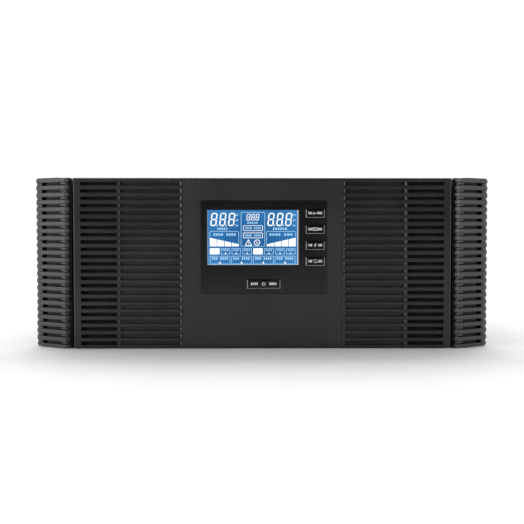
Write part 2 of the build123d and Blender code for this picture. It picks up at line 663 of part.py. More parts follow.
def rear_panel():
    """Rear plate with the cut-outs for fans, breaker, terminals and port."""
    y = (CHASSIS_BACK - PLATE_THICK, CHASSIS_BACK)
    cut = (y[0] - 1, y[1] + 1)
    panel = block((-HALF_CHASSIS, HALF_CHASSIS), y, (CHASSIS_Z[0], CHASSIS_Z[1] - SHEET))
    for x in FAN_CENTRES_X:
        panel -= rod(x, FAN_CENTRE_Z, FAN_BORE_RADIUS, cut)
        for i in (-1, 1):
            for j in (-1, 1):
                panel -= rod(x + i * FAN_HOLE_PITCH / 2, FAN_CENTRE_Z + j * FAN_HOLE_PITCH / 2, 2.2, cut)
    bx, bz = BREAKER_CENTRE
    panel -= block((bx - 12, bx + 12), cut, (bz - 23, bz + 23))
    for x in BATTERY_XS:
        panel -= rod(x, BATTERY_Z, 11.0, cut)
    panel -= rod(EARTH_CENTRE[0], EARTH_CENTRE[1], EARTH_STUD_RADIUS + 0.05, cut)
    half = TERMINAL_PITCH * TERMINAL_WAYS / 2
    panel -= block((TERMINAL_X - half, TERMINAL_X + half), cut, (TERMINAL_Z - 9, TERMINAL_Z + 9))
    px, pz = PORT_CENTRE
    panel -= block((px - 8.2, px + 8.2), cut, (pz - 7.2, pz + 7.2))
    for i in range(12):
        x = -190 + 12.0 * i
        panel -= rounded_block((x - 1.7, x + 1.7), cut, (18, 52), 1.6)
    return panel


# ---------------------------------------------------------------- rear fittings
def fan_frame(x):
    """Square fan housing with the motor mount on four arms."""
    half = FAN_SIZE / 2
    back = CHASSIS_BACK - PLATE_THICK
    y = (back - FAN_DEPTH, back)
    z = (FAN_CENTRE_Z - half, FAN_CENTRE_Z + half)
    frame = rounded_block((x - half, x + half), y, z, 4.0)
    frame -= rod(x, FAN_CENTRE_Z, FAN_BORE_RADIUS, (y[0] - 1, y[1] + 1))
    waist = rod(x, FAN_CENTRE_Z, FAN_BORE_RADIUS + 16, (y[0] + 4, y[1] - 4))
    frame -= waist - rod(x, FAN_CENTRE_Z, FAN_BORE_RADIUS + 1.6, (y[0] + 3, y[1] - 3))
    mount = rod(x, FAN_CENTRE_Z, FAN_HUB_RADIUS + 1, (y[0], y[0] + 3))
    for arm in range(4):
        bar = block((x + 8, x + FAN_BORE_RADIUS + 1), (y[0], y[0] + 3), (FAN_CENTRE_Z - 2, FAN_CENTRE_Z + 2))
        turn = Pos(x, 0, FAN_CENTRE_Z) * Rot(Y=45 + 90 * arm) * Pos(-x, 0, -FAN_CENTRE_Z)
        mount += turn * bar
    mount += rod(x, FAN_CENTRE_Z, 4.0, (y[0] + 3, y[0] + 8))
    mount -= rod(x, FAN_CENTRE_Z, FAN_SHAFT_RADIUS + RUNNING_FIT, (y[0] - 1, y[0] + 9))
    frame += mount
    for i in (-1, 1):
        for j in (-1, 1):
            hole_x = x + i * FAN_HOLE_PITCH / 2
            frame -= rod(hole_x, FAN_CENTRE_Z + j * FAN_HOLE_PITCH / 2, 2.0, (y[0] - 1, y[1] + 1))
    return frame


def fan_rotor(x):
    """Hub with twisted blades on a shaft that runs in the motor mount."""
    front = CHASSIS_BACK - PLATE_THICK - FAN_DEPTH
    hub_y = (front + 3.6, front + 23.0)
    hub = rod(x, FAN_CENTRE_Z, FAN_HUB_RADIUS, hub_y)
    hub = fillet(hub.edges().sort_by(Axis.Y)[-1], 2.0)
    hub -= rod(x, FAN_CENTRE_Z, 5.0, (hub_y[0] - 1, hub_y[0] + 6))
    hub += rod(x, FAN_CENTRE_Z, FAN_SHAFT_RADIUS, (front + 0.5, hub_y[0] + 8))
    middle_y = (front + 4 + front + 22) / 2
    sections = []
    stations = ((FAN_HUB_RADIUS - 1, 19.0, 42.0), (26.0, 20.0, 52.0), (FAN_BLADE_TIP, 21.0, 62.0))
    for radius, chord, pitch in stations:
        place = Plane(origin=(x, middle_y, FAN_CENTRE_Z + radius), x_dir=(0, 1, 0), z_dir=(0, 0, 1))
        sections.append(place * Rot(Z=pitch) * Rectangle(chord, 1.2))
    blade = loft(sections)
    rotor = hub
    for step in range(FAN_BLADES):
        turn = Pos(x, 0, FAN_CENTRE_Z) * Rot(Y=360 / FAN_BLADES * step) * Pos(-x, 0, -FAN_CENTRE_Z)
        rotor += turn * blade
    return rotor


def fan_guards():
    """Wire guards: concentric rings on two crossed wires, one guard for each fan."""
    guards = []
    wire = 0.9
    y_mid = CHASSIS_BACK + wire + 0.1 + 1.6
    for x in FAN_CENTRES_X:
        guard = None
        for radius in (8.0, 16.0, 24.0, 32.0, 39.5):
            ring = Pos(x, y_mid, FAN_CENTRE_Z) * Rot(X=90) * Torus(radius, wire)
            guard = ring if guard is None else guard + ring
        reach = FAN_HOLE_PITCH * 2 ** 0.5 / 2
        for angle in (45, 135):
            turn = Pos(x, y_mid - 1.5, FAN_CENTRE_Z) * Rot(Y=angle)
            guard += turn * Rot(Y=90) * Cylinder(wire, 2 * reach - 6)
        for i in (-1, 1):
            for j in (-1, 1):
                hole_x = x + i * FAN_HOLE_PITCH / 2
                hole_z = FAN_CENTRE_Z + j * FAN_HOLE_PITCH / 2
                eye = rod(hole_x, hole_z, 4.2, (CHASSIS_BACK, CHASSIS_BACK + GUARD_EYE))
                guard += eye
                guard -= rod(hole_x, hole_z, 2.2, (CHASSIS_BACK - 1, CHASSIS_BACK + 3))
        guards.append(guard)
    return guards


def fan_screws():
    """Long screws through guard, panel and fan."""
    screws = []
    for x in FAN_CENTRES_X:
        for i in (-1, 1):
            for j in (-1, 1):
                hole_x = x + i * FAN_HOLE_PITCH / 2
                hole_z = FAN_CENTRE_Z + j * FAN_HOLE_PITCH / 2
                seat_y = CHASSIS_BACK + GUARD_EYE
                screws.append(pan_screw(hole_x, seat_y, hole_z, FACE_BACK, 3.6, 1.9, 20.0))
    return screws


def breaker_body():
    """Circuit breaker case with a slotted face for its lever."""
    bx, bz = BREAKER_CENTRE
    half_x = BREAKER_SIZE[0] / 2
    half_z = BREAKER_SIZE[1] / 2
    face = (CHASSIS_BACK, CHASSIS_BACK + BREAKER_PROUD)
    body = rounded_block((bx - half_x, bx + half_x), face, (bz - half_z, bz + half_z), 2.0)
    body = chamfer(body.faces().sort_by(Axis.Y)[-1].edges(), 1.0)
    body += block((bx - 11.8, bx + 11.8), (CHASSIS_BACK - 52, CHASSIS_BACK), (bz - 22.8, bz + 22.8))
    body -= block((bx - 4.6, bx + 4.6), (CHASSIS_BACK - 7, CHASSIS_BACK + 9), (bz - 9.5, bz + 9.5))
    hub_gap = BREAKER_HUB_RADIUS + 0.4
    body -= pin_x(CHASSIS_BACK - 1, bz, hub_gap, (bx - 4.6, bx + 4.6))
    body -= pin_x(CHASSIS_BACK - 1, bz, 1.5 + RUNNING_FIT, (bx - 8, bx + 8))
    return body


def breaker_lever():
    """Lever on its pivot, drawn in the lower, off, position."""
    bx, bz = BREAKER_CENTRE
    pivot_y = CHASSIS_BACK - 1
    lever = pin_x(pivot_y, bz, BREAKER_HUB_RADIUS, (bx - 4.2, bx + 4.2))
    arm = block((bx - 3.8, bx + 3.8), (pivot_y, pivot_y + 15.5), (bz - 2.2, bz + 2.2))
    arm = fillet(arm.faces().sort_by(Axis.Y)[-1].edges(), 1.2)
    tilt = Pos(0, pivot_y, bz) * Rot(X=-BREAKER_TILT) * Pos(0, -pivot_y, -bz)
    lever += tilt * arm
    lever += pin_x(pivot_y, bz, 1.5, (bx - 7.5, bx + 7.5))
    return lever


def terminal_base(x):
    """Insulating bush and shroud of one battery terminal."""
    z = BATTERY_Z
    base = rod(x, z, 16.0, (CHASSIS_BACK, CHASSIS_BACK + 5))
    base = fillet(base.edges().sort_by(Axis.Y)[-1], 1.5)
    base += rod(x, z, 10.8, (CHASSIS_BACK - PLATE_THICK - 5, CHASSIS_BACK))
    base += block((x - 20, x - 15), (CHASSIS_BACK, CHASSIS_BACK + 18), (z - 15, z + 15))
    base += block((x + 15, x + 20), (CHASSIS_BACK, CHASSIS_BACK + 18), (z - 15, z + 15))
    base += block((x - 20, x + 20), (CHASSIS_BACK, CHASSIS_BACK + 5), (z - 15, z + 15))
    return base - rod(x, z, 5.0, (CHASSIS_BACK - 20, CHASSIS_BACK + 20))


def battery_studs():
    """Plated studs; the free end takes an eight-millimetre cable lug."""
    studs = []
    free = REAR_TIP - BATTERY_STUD_FREE
    for x in BATTERY_XS:
        thick = rod(x, BATTERY_Z, 4.9, (CHASSIS_BACK - 22, CHASSIS_BACK + 5))
        collar = hex_prism(x, BATTERY_Z, 14.0, (CHASSIS_BACK + 5, free))
        stud = thick + collar + rod(x, BATTERY_Z, BATTERY_STUD_RADIUS, (free, REAR_TIP))
        studs.append(stud)
    return studs


def terminal_nuts():
    """Nuts that clamp the battery studs from inside."""
    nuts = []
    for x in BATTERY_XS:
        y = (CHASSIS_BACK - PLATE_THICK - 12, CHASSIS_BACK - PLATE_THICK - 5.1)
        nuts.append(hex_prism(x, BATTERY_Z, 17.0, y) - rod(x, BATTERY_Z, 4.95, (y[0] - 1, y[1] + 1)))
    return nuts


def earth_stud():
    """Earth stud with its fixing nut."""
    x, z = EARTH_CENTRE
    tip = CHASSIS_BACK + 4 + EARTH_STUD_FREE
    stud = rod(x, z, EARTH_STUD_RADIUS, (CHASSIS_BACK + 4, tip))
    stud += hex_prism(x, z, 8.0, (CHASSIS_BACK, CHASSIS_BACK + 4))
    stud += rod(x, z, EARTH_STUD_RADIUS, (CHASSIS_BACK - PLATE_THICK, CHASSIS_BACK))
    return stud + hex_prism(x, z, 8.0, (CHASSIS_BACK - PLATE_THICK - 4, CHASSIS_BACK - PLATE_THICK))


def terminal_entries():
    """Middles of the wire entries of the mains terminal block."""
    first = TERMINAL_X - TERMINAL_PITCH * (TERMINAL_WAYS - 1) / 2
    return [first + TERMINAL_PITCH * way for way in range(TERMINAL_WAYS)]


def ac_terminal_block():
    """Mains terminal block: a square entry for each wire, its screw above."""
    half = TERMINAL_PITCH * TERMINAL_WAYS / 2
    front = CHASSIS_BACK + 13
    flange_x = (TERMINAL_X - half - 6, TERMINAL_X + half + 6)
    body = block(flange_x, (CHASSIS_BACK, front), (TERMINAL_Z - 12, TERMINAL_Z + 12))
    body = chamfer(body.faces().sort_by(Axis.Y)[-1].edges(), 1.0)
    neck_x = (TERMINAL_X - half + 0.2, TERMINAL_X + half - 0.2)
    body += block(neck_x, (CHASSIS_BACK - 8, CHASSIS_BACK), (TERMINAL_Z - 8.8, TERMINAL_Z + 8.8))
    grip = TERMINAL_ENTRY / 2
    entry_z = (TERMINAL_Z - 8, TERMINAL_Z - 8 + TERMINAL_ENTRY)
    for x in terminal_entries():
        body -= block((x - grip, x + grip), (front - 12, front + 1), entry_z)
        body -= rod(x, TERMINAL_Z + 5.5, 3.4, (front - 6, front + 1))
    return body


def terminal_screws():
    """Slotted clamp screws above the wire entries."""
    screws = []
    for x in terminal_entries():
        seat = CHASSIS_BACK + 7.05
        screw = rod(x, TERMINAL_Z + 5.5, 3.1, (seat, seat + 4))
        blade_slot = block((x - 4, x + 4), (seat + 3, seat + 5), (TERMINAL_Z + 5.0, TERMINAL_Z + 6.0))
        screws.append(screw - blade_slot)
    return screws


def comm_port():
    """Shielded data socket."""
    px, pz = PORT_CENTRE
    body = block((px - 8, px + 8), (CHASSIS_BACK - 18, CHASSIS_BACK + 1), (pz - 7, pz + 7))
    body -= block((px - 6, px + 6), (CHASSIS_BACK - 14, CHASSIS_BACK + 2), (pz - 4, pz + 4))
    return body - block((px - 3, px + 3), (CHASSIS_BACK - 14, CHASSIS_BACK + 2), (pz - 5.6, pz - 3))


# ---------------------------------------------------------------- inside
def toroid(outer, inner, z, rounding):
    """A ring with rounded edges, lying flat."""
    x, y = TOROID_CENTRE
    ring = post(x, y, outer, z) - post(x, y, inner, (z[0] - 1, z[1] + 1))
    return fillet(ring.edges().filter_by(GeomType.CIRCLE), rounding)


TOROID_Z = (INSIDE_FLOOR + 3, INSIDE_FLOOR + 3 + TOROID_HEIGHT)


def transformer_winding():
    """Taped winding around the core."""
    hollow_z = (TOROID_Z[0] + 8.9, TOROID_Z[1] - 8.9)
    core_space = toroid(TOROID_OUTER - 11.9, TOROID_INNER + 11.9, hollow_z, 1.0)
    return toroid(TOROID_OUTER, TOROID_INNER, TOROID_Z, 9.0) - core_space


def transformer_core():
    """Wound steel ring inside the winding."""
    return toroid(TOROID_OUTER - 12, TOROID_INNER + 12, (TOROID_Z[0] + 9, TOROID_Z[1] - 9), 1.0)


def transformer_pads():
    """Rubber washers below and above the winding."""
    x, y = TOROID_CENTRE
    low = (INSIDE_FLOOR, TOROID_Z[0])
    high = (TOROID_Z[1], TOROID_Z[1] + 3)
    return [post(x, y, 60, z) - post(x, y, 5.2, (z[0] - 1, z[1] + 1)) for z in (low, high)]


def transformer_clamp():
    """Dished steel washer that presses the transformer down."""
    x, y = TOROID_CENTRE
    low = TOROID_Z[1] + 3
    clamp = post(x, y, 50, (low, low + 3)) - post(x, y, 5.2, (low - 1, low + 4))
    return fillet(clamp.edges().sort_by(Axis.Z)[-2:], 0.8)


def transformer_bolt():
    """Bolt through the middle of the transformer."""
    x, y = TOROID_CENTRE
    seat = TOROID_Z[1] + 6
    head = Pos(x, y, seat) * extrude(RegularPolygon(8.0, 6, major_radius=False), 6)
    return head + post(x, y, 4.9, (INSIDE_FLOOR, seat))


POWER_BOARD_X = (20.0, 205.0)
POWER_BOARD_Y = (-140.0, 110.0)
POWER_BOARD_Z = (INSIDE_FLOOR + 10, INSIDE_FLOOR + 12)
STANDOFF_PLACES = [(x, y) for x in (26.0, 199.0) for y in (-134.0, -15.0, 104.0)]


def power_board():
    """Main board with the power stage."""
    board = block(POWER_BOARD_X, POWER_BOARD_Y, POWER_BOARD_Z)
    for x, y in STANDOFF_PLACES:
        board -= post(x, y, 1.6, (POWER_BOARD_Z[0] - 1, POWER_BOARD_Z[1] + 1))
    return board


def board_standoffs():
    """Hexagonal spacers under the main board."""
    return [
        Pos(x, y, INSIDE_FLOOR) * extrude(RegularPolygon(3.2, 6, major_radius=False), 10)
        for x, y in STANDOFF_PLACES
    ]


HEAT_SINK_XS = (66.0, 150.0)


def heat_sinks():
    """Two finned aluminium extrusions along the main board."""
    sinks = []
    z = (POWER_BOARD_Z[1] + 0.5, POWER_BOARD_Z[1] + 62)
    for x in HEAT_SINK_XS:
        sink = block((x - 3, x + 3), (-120, 20), z)
        for fin in range(7):
            low = z[0] + 4 + 8.5 * fin
            sink += block((x + 3, x + 26), (-120, 20), (low, low + 2))
        sinks.append(sink)
    return sinks


def power_transistors():
    """Flat transistors clamped to the heat sinks."""
    pieces = []
    low = POWER_BOARD_Z[1] + 4
    for x in HEAT_SINK_XS:
        for step in range(6):
            y = -110 + 22.0 * step
            body = block((x - 8, x - 3.05), (y - 8, y + 8), (low + 6, low + 26))
            for lead in (-5, 0, 5):
                lead_y = (y + lead - 0.6, y + lead + 0.6)
                body += block((x - 6, x - 5.2), lead_y, (POWER_BOARD_Z[1], low + 6))
            pieces.append(body)
    return pieces


def capacitors():
    """Round bulk capacitors."""
    places = [(40.0 + 34.0 * i, 45.0 + 34.0 * j) for i in range(5) for j in range(2)]
    cans = []
    for x, y in places:
        can = post(x, y, 14.0, (POWER_BOARD_Z[1] + 0.1, POWER_BOARD_Z[1] + 45))
        cans.append(fillet(can.edges().sort_by(Axis.Z)[-1], 1.5))
    return cans


def control_board():
    """Control board on edge beside the transformer."""
    return block((-6.0, -4.4), (-150.0, -30.0), (INSIDE_FLOOR + 6, INSIDE_FLOOR + 96))


def control_board_bracket():
    """Folded steel foot that holds the control board on edge."""
    foot = block((-20.0, -4.3), (-140.0, -40.0), (INSIDE_FLOOR, INSIDE_FLOOR + 1.5))
    return foot + block((-8.0, -6.1), (-140.0, -40.0), (INSIDE_FLOOR + 1.5, INSIDE_FLOOR + 20))


def relays():
    """Transfer relays on the control board."""
    z = (INSIDE_FLOOR + 60, INSIDE_FLOOR + 82)
    return [block((-4.3, 12.0), (y, y + 28.0), z) for y in (-146.0, -112.0, -78.0)]


def output_choke():
    """Filter choke near the terminals."""
    choke = Pos(-40, 150, INSIDE_FLOOR + 14) * (Cylinder(24, 22) - Cylinder(10, 24))
    return fillet(choke.edges().filter_by(GeomType.CIRCLE), 4.0)


def battery_leads():
    """Insulated leads from the studs down to the main board, each led inside the case."""
    leads = []
    for x in BATTERY_XS:
        start_y = CHASSIS_BACK - 22.1
        low = POWER_BOARD_Z[1] + 0.2
        points = [(x, start_y, BATTERY_Z), (x, start_y - 44, BATTERY_Z), (x, start_y - 44, low)]
        path = FilletPolyline(*points, radius=20)
        section = Plane(origin=points[0], z_dir=(0, -1, 0)) * Circle(5.0)
        leads.append(sweep(section, path=path))
    return leads


def ribbon_cable():
    """Flat cable from the display board to the control board."""
    z = (96.0, 116.0)
    start = FRONT + DISPLAY_BOARD_Y[1]
    first = block((-20, -19), (start + 0.1, -156.0), z)
    second = block((-20, -3), (-156.0, -155.0), z)
    return first + second + block((-4, -3), (-155.0, -151.0), z) + block((-6, -3), (-151.0, -150.1), z)


# ---------------------------------------------------------------- write the parts
def build():
    """Write every node."""
    os.makedirs("parts", exist_ok=True)
    export("front_bezel", front_bezel())
    export("centre_panel", centre_panel())
    export("display_plate", display_plate())
    export("lcd_window", window_layer(LENS_Y, 0.05))
    export("lcd_panel", window_layer(LCD_Y, 0.3))
    export("lcd_backlight", window_layer(BACKLIGHT_Y, 0.3))
    export("lcd_frame", lcd_frame())
    export("display_board", display_board())
    export("display_screws", *display_screws())
    export("button_switches", *button_switches())
    for name, x, z, width, height in all_keys():
        export(name, key_cap(x, z, width, height))
    for name, side in (("left", -1), ("right", 1)):
        export(f"{name}_end_cover", end_cover(side))
        export(f"{name}_rack_ear", rack_ear(side))
    export("dust_filters", *dust_filters())
    export("ear_screws", *ear_screws())
    export("bezel_screws", *bezel_screws())
    export("chassis_tray", chassis_tray())
    export("front_plate", front_plate())
    export("rear_panel", rear_panel())
    export("top_cover", top_cover())
    export("cover_screws", *cover_screws())
    export("rubber_feet", *rubber_feet())
    export("foot_screws", *foot_screws())
    export("fan_frames", *[fan_frame(x) for x in FAN_CENTRES_X])
    for name, x in zip(("outer_fan_rotor", "inner_fan_rotor"), FAN_CENTRES_X):
        export(name, fan_rotor(x))
    export("fan_guards", *fan_guards())
    export("fan_screws", *fan_screws())
    export("breaker_body", breaker_body())
    export("breaker_lever", breaker_lever())
    export("negative_terminal_base", terminal_base(BATTERY_XS[0]))
    export("positive_terminal_base", terminal_base(BATTERY_XS[1]))
    export("battery_studs", *battery_studs())
    export("terminal_nuts", *terminal_nuts())
    export("earth_stud", earth_stud())
    export("ac_terminal_block", ac_terminal_block())
    export("terminal_screws", *terminal_screws())
    export("comm_port", comm_port())
    export("transformer_winding", transformer_winding())
    export("transformer_core", transformer_core())
    export("transformer_pads", *transformer_pads())
    export("transformer_clamp", transformer_clamp())
    export("transformer_bolt", transformer_bolt())
    export("power_board", power_board())
    export("board_standoffs", *board_standoffs())
    export("heat_sinks", *heat_sinks())
    export("power_transistors", *power_transistors())
    export("capacitors", *capacitors())
    export("control_board", control_board())
    export("control_board_bracket", control_board_bracket())
    export("relays", *relays())
    export("output_choke", output_choke())
    export("battery_leads", *battery_leads())
    export("ribbon_cable", ribbon_cable())


build()
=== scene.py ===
import json
import math

import bmesh
import bpy
import numpy as np
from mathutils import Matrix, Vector


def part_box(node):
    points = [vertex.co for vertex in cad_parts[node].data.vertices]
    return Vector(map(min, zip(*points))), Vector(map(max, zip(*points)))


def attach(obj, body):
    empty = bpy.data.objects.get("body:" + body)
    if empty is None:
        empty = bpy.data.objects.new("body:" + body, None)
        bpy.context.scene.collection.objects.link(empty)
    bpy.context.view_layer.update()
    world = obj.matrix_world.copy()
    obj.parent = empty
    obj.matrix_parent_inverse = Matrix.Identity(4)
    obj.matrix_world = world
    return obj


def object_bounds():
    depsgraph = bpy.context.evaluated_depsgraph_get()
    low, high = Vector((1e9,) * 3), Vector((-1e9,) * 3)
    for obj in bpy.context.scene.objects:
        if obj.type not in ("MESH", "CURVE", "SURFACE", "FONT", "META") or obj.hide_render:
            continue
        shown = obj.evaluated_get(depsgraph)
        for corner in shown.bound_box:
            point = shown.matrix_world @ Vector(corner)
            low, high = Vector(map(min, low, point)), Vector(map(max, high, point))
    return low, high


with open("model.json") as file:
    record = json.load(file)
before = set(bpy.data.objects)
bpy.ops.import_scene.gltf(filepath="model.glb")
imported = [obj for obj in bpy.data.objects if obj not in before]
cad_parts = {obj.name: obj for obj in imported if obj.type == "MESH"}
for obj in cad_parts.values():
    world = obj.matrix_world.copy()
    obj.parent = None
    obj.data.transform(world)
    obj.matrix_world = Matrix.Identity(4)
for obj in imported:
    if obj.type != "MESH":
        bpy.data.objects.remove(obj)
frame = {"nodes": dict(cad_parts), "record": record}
CAD_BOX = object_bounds()

bl_info = {
    "name": "Rackmount UPS",
    "version": (1, 0, 0),
    "blender": (4, 5, 0),
    "location": "3D View > Sidebar > UPS",
    "description": "Finishes, display, key marks and studio for a four-unit rackmount UPS",
    "category": "Object",
}

MM = 0.001

# studio, in metres
FLOOR_HALF = 3.0
FLOOR_FRONT = 0.75            # how far the floor runs in front of the object
FLOOR_BACK = 0.9              # y where it ends behind
FLOOR_STEPS = (25, 17)
LIGHT_AIM = (0.0, 0.0, 0.09)
# each softbox's place, and the width and height of its face
LEFT_BOX = ((-1.75, -1.15, 0.55), (1.1, 1.3))
RIGHT_BOX = ((1.75, -1.1, 0.5), (1.0, 1.2))
TOP_BOX = ((0.0, 1.1, 1.45), (2.6, 1.4))
ROOM_CHANGE = (-0.2, 0.25)    # the room brightens between these values of a direction's y
SENSOR_WIDTH = 36.0           # millimetres
NEAR_CLIP = 0.01

# front mouldings, in millimetres
ROW_MARGIN = 6.5              # from the bezel's top to the middle of the first groove
ROW_PITCH = 7.56
ROW_COUNT = 23
COVER_RIDGE = (205.4, 0.4)    # the ridge's x, and its depth behind the bezel's face
COVER_SLOPE = 31.8            # the slanted face, degrees from the bezel's face
# painted shade: dark strips on the floors of the end covers' grooves
GROOVE_SHADE_X = (212.0, 226.0)
GROOVE_SHADE_DEPTH = (1.1, 1.72)    # front and back of a strip, square to the slanted face
GROOVE_SHADE_HEIGHT = 2.3
KEY_FLANGE = 1.3              # how far a key's hidden flange reaches past its cap, with its clearance
WINDING_RADIUS = 60           # where the winding's turns are counted


# ------------------------------------------------------------------ colour
def linear(hex_colour):
    """An sRGB hex colour as three linear values."""
    value = hex_colour.lstrip("#")
    parts = [int(value[i:i + 2], 16) / 255 for i in (0, 2, 4)]
    return [p / 12.92 if p <= 0.04045 else ((p + 0.055) / 1.055) ** 2.4 for p in parts]


def rgba(colour):
    """Three linear values with an alpha of one."""
    return (*colour[:3], 1.0)


def colour_property(name, description, hex_colour):
    """A colour that a user can change, with its default given in sRGB."""
    return bpy.props.FloatVectorProperty(
        name=name, description=description, subtype="COLOR", size=3, min=0, max=1, default=linear(hex_colour)
    )


def length_property(name, description, metres):
    """A length that a user can change."""
    return bpy.props.FloatProperty(
        name=name, description=description, default=metres, unit="LENGTH", precision=5
    )


def brightness_property(name, description, value):
    """A brightness that a user can change."""
    return bpy.props.FloatProperty(name=name, description=description, default=value, min=0)


# ------------------------------------------------------------------ settings
class UPSStageSettings(bpy.types.PropertyGroup):
    """Camera, lights and floor."""

    camera_distance: length_property("Camera distance", "From the middle of the front to the camera", 0.90)
    camera_height: bpy.props.FloatProperty(
        name="Camera height", description="Angle above the horizon",
        subtype="ANGLE", default=math.radians(2.0),
    )
    camera_turn: bpy.props.FloatProperty(
        name="Camera turn", description="Angle round to the left end",
        subtype="ANGLE", default=math.radians(0.5),
    )
    focal_pixels: bpy.props.FloatProperty(
        name="Focal ratio", description="Focal length over the width of the picture", default=1.651
    )
    room_dim: brightness_property("Room, front", "Light from behind the camera", 0.10)
    room_bright: brightness_property("Room, back", "Light from behind the object", 1.15)
    floor_colour: colour_property("Floor", "Pale seamless floor", "#f4f4f4")
    aim_offset: bpy.props.FloatVectorProperty(
        name="Aim", description="Aim from the middle of the bezel, across and up", size=2,
        default=(-0.0006, 0.0008), unit="LENGTH", precision=5,
    )
    key_radiance: brightness_property("Left box", "Brightness of the left softbox", 7.0)
    fill_radiance: brightness_property("Right box", "Brightness of the right softbox", 4.0)
    top_radiance: brightness_property("Top box", "Brightness of the top softbox", 2.7)


class UPSFinishSettings(bpy.types.PropertyGroup):
    """Colours of the finishes."""

    abs_colour: colour_property("Moulded ABS", "Black front mouldings", "#1b1b1c")
    panel_colour: colour_property("Centre panel", "Smooth insert round the display plate", "#202021")
    plate_colour: colour_property("Display plate", "Black frame of the display", "#0d0d0e")
    coat_colour: colour_property("Powder coat", "Black case", "#1b1b1d")
    screen_deep: colour_property("Screen middle", "Blue of the lit screen", "#14609b")
    screen_pale: colour_property("Screen edge", "Paler blue towards the edges", "#3586c6")
    mark_white: colour_property("Lit marks", "Figures and bars of the screen", "#fbfeff")
    mark_pale: colour_property("Outlines", "Thin outlines of the screen", "#a9dcff")


class UPSDisplaySettings(bpy.types.PropertyGroup):
    """Sizes of the marks on the screen and the keys."""

    line_width: length_property("Line width", "Width of the screen's thin outlines", 0.00055)
    digit_height: length_property("Figure height", "Height of the large figures", 0.0124)
    key_mark_height: length_property("Key mark height", "Height of the marks on the keys", 0.0036)


SETTINGS = {
    "ups_stage": UPSStageSettings, "ups_finish": UPSFinishSettings, "ups_display": UPSDisplaySettings,
}


# ------------------------------------------------------------------ node trees
SLOW_GRAIN = 38.0             # millimetres over which a finish changes its tone
NOISE_MIDDLE = (0.36, 0.64)   # the part of a noise's range that most of its values fall in
GLOSS_SWING = 0.05            # how far a finish's roughness goes either way


def add_node(tree, kind, sets=None, links=None, attrs=None):
    """Adds a node, with its sockets' values, its incoming links and its own attributes."""
    made = tree.nodes.new(kind)
    for key, value in (attrs or {}).items():
        setattr(made, key, value)
    for key, value in (sets or {}).items():
        made.inputs[key].default_value = value
    for key, source in (links or {}).items():
        tree.links.new(source, made.inputs[key])
    return made


def new_material(name):
    """An empty node material and its tree."""
    material = bpy.data.materials.new(name)
    material.use_nodes = True
    material.node_tree.nodes.clear()
    return material, material.node_tree


def object_noise(tree, size_mm, detail=2.0, stretch=(1, 1, 1)):
    """Noise whose grains are about size_mm across, in the object's own metres."""
    place = add_node(tree, "ShaderNodeTexCoord").outputs["Object"]
    mapping = add_node(tree, "ShaderNodeMapping", {"Scale": [1 / s for s in stretch]}, {"Vector": place})
    sets = {"Scale": 1 / (size_mm * MM), "Detail": detail}
    return add_node(tree, "ShaderNodeTexNoise", sets, {"Vector": mapping.outputs[0]}).outputs["Fac"]


def spread(tree, source, low, high, start=0.3, end=0.7):
    """Maps a noise value onto a range."""
    return add_node(
        tree, "ShaderNodeMapRange",
        {"From Min": start, "From Max": end, "To Min": low, "To Max": high}, {"Value": source},
    ).outputs["Result"]


def blend_colours(tree, factor, first, second):
    """A mix of two colours by a factor; sockets 6 and 7 are the mix node's colours and 2 is its result."""
    sets = {6: rgba(first), 7: rgba(second)}
    return add_node(tree, "ShaderNodeMix", sets, {0: factor}, {"data_type": "RGBA"}).outputs[2]


def finish_off(material, tree, sets, links):
    """Joins a principled shader to the material's output."""
    shader = add_node(tree, "ShaderNodeBsdfPrincipled", sets, links)
    add_node(tree, "ShaderNodeOutputMaterial", links={"Surface": shader.outputs[0]})
    return material


def textured(name, colour, roughness, grain_mm, depth_mm, shade=0.25, metallic=0.0, stretch=(1, 1, 1)):
    """A finish with a fine relief, a slow change of shade and a slightly uneven gloss.

    grain_mm is the grain's width and depth_mm its height; shade is how far the tone wanders.
    """
    material, tree = new_material(name)
    grain = object_noise(tree, grain_mm, 3.0, stretch)
    slow = object_noise(tree, SLOW_GRAIN, 1.0)
    darker = [c * (1 - shade) for c in colour]
    lighter = [min(1, c * (1 + shade)) for c in colour]
    both = add_node(tree, "ShaderNodeMath", {}, {0: grain, 1: slow}, {"operation": "ADD"})
    half = add_node(tree, "ShaderNodeMath", {1: 0.5}, {0: both.outputs[0]}, {"operation": "MULTIPLY"})
    base = blend_colours(tree, spread(tree, half.outputs[0], 0, 1, *NOISE_MIDDLE), darker, lighter)
    gloss = spread(tree, half.outputs[0], roughness - GLOSS_SWING, roughness + GLOSS_SWING)
    bump = add_node(tree, "ShaderNodeBump", {"Strength": 1.0, "Distance": depth_mm * MM}, {"Height": grain})
    links = {"Base Color": base, "Roughness": gloss, "Normal": bump.outputs[0]}
    return finish_off(material, tree, {"Metallic": metallic}, links)


